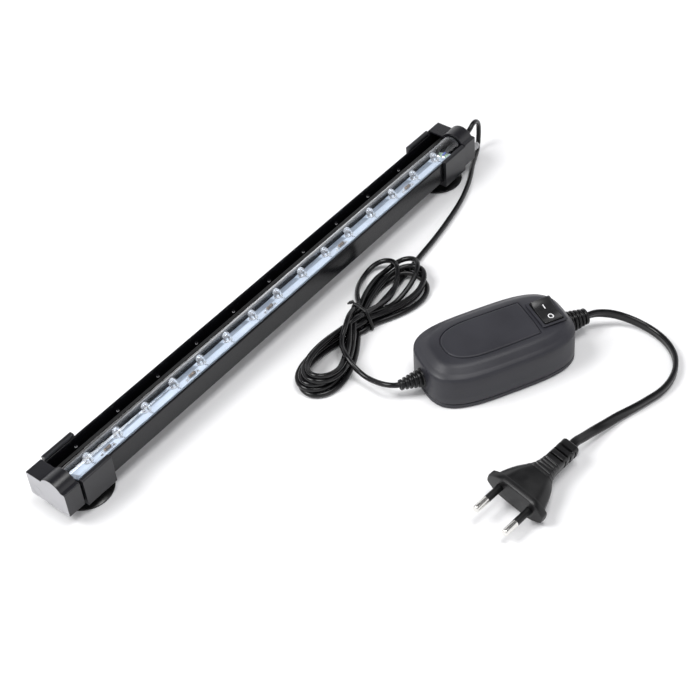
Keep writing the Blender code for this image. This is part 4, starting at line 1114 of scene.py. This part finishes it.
def switch():
    frame_outline = rectangle(7.5, 10.5, 0.7)
    swing = math.hypot(ROCKER_HALF, ROCKER_END)
    well = rectangle(5.8, swing + 0.3, 0.3)
    at = Matrix.Translation((31.3, -0.5, 0))
    shape = Shape()
    block = rectangle(6.5, 9.7, 0.4)
    rings = [[(u, v, z) for u, v in block] for z in (13.0, 25.2)]
    lip = ((1, 25.2), (1, 25.55), (0.988, 25.72), (0.97, 25.78))
    rings += [[(u * s, v * s, z) for u, v in frame_outline] for s, z in lip]
    outside = len(rings)
    rings += [[(u * s, v * s, z) for u, v in well] for s, z in ((1.03, 25.78), (1.0, 25.62), (1.0, 18.3))]
    # the well's inner walls take the second paint: near-black, painted shade in the recess round the rocker
    shape.loft(rings, lambda ring, i: int(ring >= outside), at)
    piece(
        "switch_bezel", shape, ADAPTER, [COVER, SEAM_DARK_AND_WELL_SHADE], "light_bar", ["switch_body"],
        sharp=30
    )
    right_end = arc((0, 0), swing, math.radians(-12), math.acos(ROCKER_HALF / swing), 8)
    places = [ROCKER_HALF - 16.2 * i / 48 for i in range(1, 48)]
    top = [(v, rocker_top(v)) for v in places]
    outline = [(-3, -3.6), (3, -3.6)] + right_end + top + [(-v, z) for v, z in reversed(right_end)]
    shape = Shape().extrude(outline, -5.5, 5.5)
    piece("rocker_cap", shape, PIVOT, GLOSS_SWITCH, "rocker", ["rocker"], bevel=0.22, sharp=40)
    marks = Shape()
    section = [(-0.28, -0.15), (-0.28, 0.05), (0.28, 0.05), (0.28, -0.15)]
    rings = []
    for i in range(40):
        a = math.tau * i / 40
        rings.append(
            [
                (1.32 * (1 + w / 1.32) * math.cos(a), -4.6 + 1.55 * (1 + w / 1.55) * math.sin(a), h) for w,
                h in section
            ]
        )
    marks.loft(rings, loop=True)
    rings = []
    for i in range(9):
        v = 1.4 + 3.0 * i / 8
        rings.append([(w, v, h) for w, h in section])
    marks.loft(rings)
    marks.points = [Vector((p.x, p.y, p.z + rocker_top(p.y))) for p in marks.points]
    piece("switch_marks", marks, PIVOT, MARK, "rocker")


def adapter():
    adapter_cover()
    strain_relief("relief_output", "output_relief", OUTPUT_Z, -1, 1.62, 4.9, 3.0)
    strain_relief("relief_mains", "mains_relief", MAINS_Z, 1, 2.7, 6.2, 4.6)
    switch()


# -------------------------------------------------------------------- plug

PIN_OFFSET = 9.3  # half the distance between the pins' axes
# along the plug, then half width, half height, and the flat and end that plug_outline takes
PLUG_SECTIONS = (
    (-4.4, 15.1, 6.0, 9.4, 2.6), (-8.0, 14.1, 5.9, 9.0, 2.6), (-12.0, 12.6, 5.8, 8.3, 2.5),
    (-15.5, 11.0, 5.6, 7.2, 2.4),
    (-18.5, 9.0, 5.3, 6.0, 2.4), (-21.5, 6.9, 5.0, 4.8, 2.4), (-25.0, 5.6, 4.8, 4.2, 2.5),
    (-30.0, 5.1, 4.6, 4.0, 2.7),
    (-37.0, 5.1, 4.4, 3.95, 2.7), (-44.6, 5.1, 4.2, 3.9, 2.7),
)


def plug_outline(width, height, flat, end):
    """Flattened octagon with its corners cut round, twice."""
    quarter = [(width, end), (flat, height), (-flat, height), (-width, end)]
    points = [Vector(p) for p in quarter + [(-v, -z) for v, z in quarter]]
    for share in (0.14, 0.25, 0.25):
        cut = []
        for a, b in zip(points, points[1:] + points[:1]):
            cut += [a + (b - a) * share, b + (a - b) * share]
        points = cut
    return points


def section_at(u):
    for a, b in zip(PLUG_SECTIONS, PLUG_SECTIONS[1:]):
        if b[0] <= u <= a[0]:
            share = (a[0] - u) / (a[0] - b[0])
            return [p + (q - p) * share for p, q in zip(a[1:], b[1:])]
    return PLUG_SECTIONS[-1][1:]


def smooth_section(u):
    near = [section_at(min(-4.4, max(-44.6, u + d))) for d in (-1.6, -0.8, 0, 0.8, 1.6)]
    return [sum(values) / len(values) for values in zip(*near)]


def plug_body():
    rings = []
    for u, grow in (
        (0.0, -0.9), (-0.05, -0.4), (-0.2, -0.12), (-0.5, 0), (-3.5, 0), (-3.85, -0.12), (-4.0, -0.4)
    ):
        rings.append(
            [
                (u, v, z) for v,
                z in plug_outline(17.6 + grow, 6.85 + grow, 11.0 + grow * 0.5, 2.9 + grow * 0.5)
            ]
        )
    steps = 140
    for i in range(steps + 1):
        u = -4.1 - 40.5 * i / steps
        grip = max(0.0, math.cos(math.pi * (u + 19.6) / 1.1)) ** 2 * 0.42 if -29.6 < u < -19.05 else 0.0
        outline = plug_outline(*smooth_section(u))
        ring = []
        for v, z in outline:
            at = Vector((v, z))
            at.y += math.copysign(grip, at.y) * min(1, abs(at.y) / 3)
            slot, phase = divmod((-u - 31.6), 2.0)
            if 31.6 < -u < 43.4 and phase < 1.15:
                deep = min(1, phase / 0.25, (1.15 - phase) / 0.25)
                around = abs(math.degrees(math.atan2(at.y, at.x)))
                if int(slot) % 2:
                    side = min(around, 180 - around)
                    hit = min(1, max(0, (34 - side) / 6))
                else:
                    side = abs(around - 90)
                    hit = min(1, max(0, (50 - side) / 8))
                at *= 1 - 0.34 * deep * hit
            ring.append((u, at.x, at.y))
        rings.append(ring)
    for u, grow in ((-45.1, -0.3), (-45.4, -0.8)):
        rings.append([(u, v, z) for v, z in plug_outline(5.1 + grow, 4.2 + grow, 3.9 + grow, 2.7 + grow)])
    shape = Shape().loft(rings)
    cut = Shape()
    for v in (PIN_OFFSET, -PIN_OFFSET):
        cut.lathe([(0, -8), (2.15, -8), (2.15, 4), (0, 4)], 32, 0, facing(1, (0, v, 0)))
    return piece(
        "plug_moulding", shape, PLUG, PLUG_SKIN, "light_bar", ["plug_body"], cut=cut, sharp=38
    )


def plug_pins():
    made = []
    for word, v in (("left", PIN_OFFSET), ("right", -PIN_OFFSET)):
        place = facing(1, (0, v, 0))
        profile = fillet(
            [
                (0, 19.0, 0), (2.0, 19.0, 1.3), (2.0, 10.25, 0.1), (1.5, 10.25, 0), (1.5, -7.6, 0),
                (0, -7.6, 0)
            ], False, 9
        )
        pin = piece(
            f"pin_{word}", Shape().lathe(profile, 48, 0, place), PLUG, NICKEL, "light_bar",
            [f"plug_pin_{word}"], sharp=50
        )
        profile = fillet(
            [(1.6, 10.1, 0.1), (1.97, 10.1, 0.2), (1.9, 2.0, 0), (1.97, 0.0, 0), (1.97, -5, 0), (1.6, -5, 0)]
        )
        shape = Shape().lathe(profile, 48, 0, place, loop=True)
        sleeve = piece(
            f"sleeve_{word}", shape, PLUG, RUBBER, "light_bar", [f"pin_sleeve_{word}"]
        )
        made += [pin, sleeve]
    return made


# ------------------------------------------------------------- carried over


def carried_over():
    """Materials for the CAD nodes that stay: the supply inside the adapter, and its screws."""
    paints = {
        "adapter_board": GREEN, "transformer_core": FERRITE, "transformer_winding": COPPER,
        "input_capacitor": SLEEVE, "output_capacitor": SLEEVE, "base_screw_1": STEEL, "base_screw_2": STEEL,
    }
    for name, paint in paints.items():
        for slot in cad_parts[name].material_slots:
            slot.link = "OBJECT"
            slot.material = paint


# -------------------------------------------------------------------- stage


def stage():
    mesh = bpy.data.meshes.new("floor")
    half = 3.0
    corners = [(-half, -half, 0), (half, -half, 0), (half, half, 0), (-half, half, 0)]
    mesh.from_pydata(corners, [], [(0, 1, 2, 3)])
    floor = bpy.data.objects.new("floor", mesh)
    SCENE.collection.objects.link(floor)
    floor.location.z = -0.0002
    mesh.materials.append(
        surface("floor_white", (0.86, 0.86, 0.87), (0.88, 0.88, 0.885), (0.6, 0.7), 3, 40, 0.0)
    )
    world = bpy.data.worlds.new("studio")
    SCENE.world = world
    world.use_nodes = True
    tree = world.node_tree
    background = tree.nodes["Background"]
    coords = tree.nodes.new("ShaderNodeTexCoord")
    split = tree.nodes.new("ShaderNodeSeparateXYZ")
    ramp = tree.nodes.new("ShaderNodeValToRGB")
    tree.links.new(coords.outputs["Generated"], split.inputs[0])
    tree.links.new(split.outputs["Z"], ramp.inputs["Fac"])
    low, high = ramp.color_ramp.elements
    low.position, low.color = 0.50, (1.1, 1.1, 1.12, 1)
    high.position, high.color = 0.70, (0.08, 0.08, 0.084, 1)
    tree.links.new(ramp.outputs["Color"], background.inputs["Color"])
    background.inputs["Strength"].default_value = 1.0
    aim = Vector((0, -0.05, 0))
    for name, at, power in (("key", (-0.75, 0.55, 1.25), 17.0), ("fill", (0.1, -0.35, 1.6), 13.0)):
        data = bpy.data.lights.new(name, "AREA")
        data.shape, data.size, data.size_y, data.energy = "RECTANGLE", 0.7, 0.7, power
        lamp_object = bpy.data.objects.new(name, data)
        SCENE.collection.objects.link(lamp_object)
        lamp_object.location = at
        lamp_object.rotation_euler = (aim - Vector(at)).to_track_quat("-Z", "Y").to_euler()
    SCENE.view_settings.view_transform = "Standard"
    SCENE.view_settings.look = "None"


lamp_cord()
body = plug_body()
mains_cord([body, *plug_pins()])
light_bar()
lamp()
adapter()
carried_over()
stage()
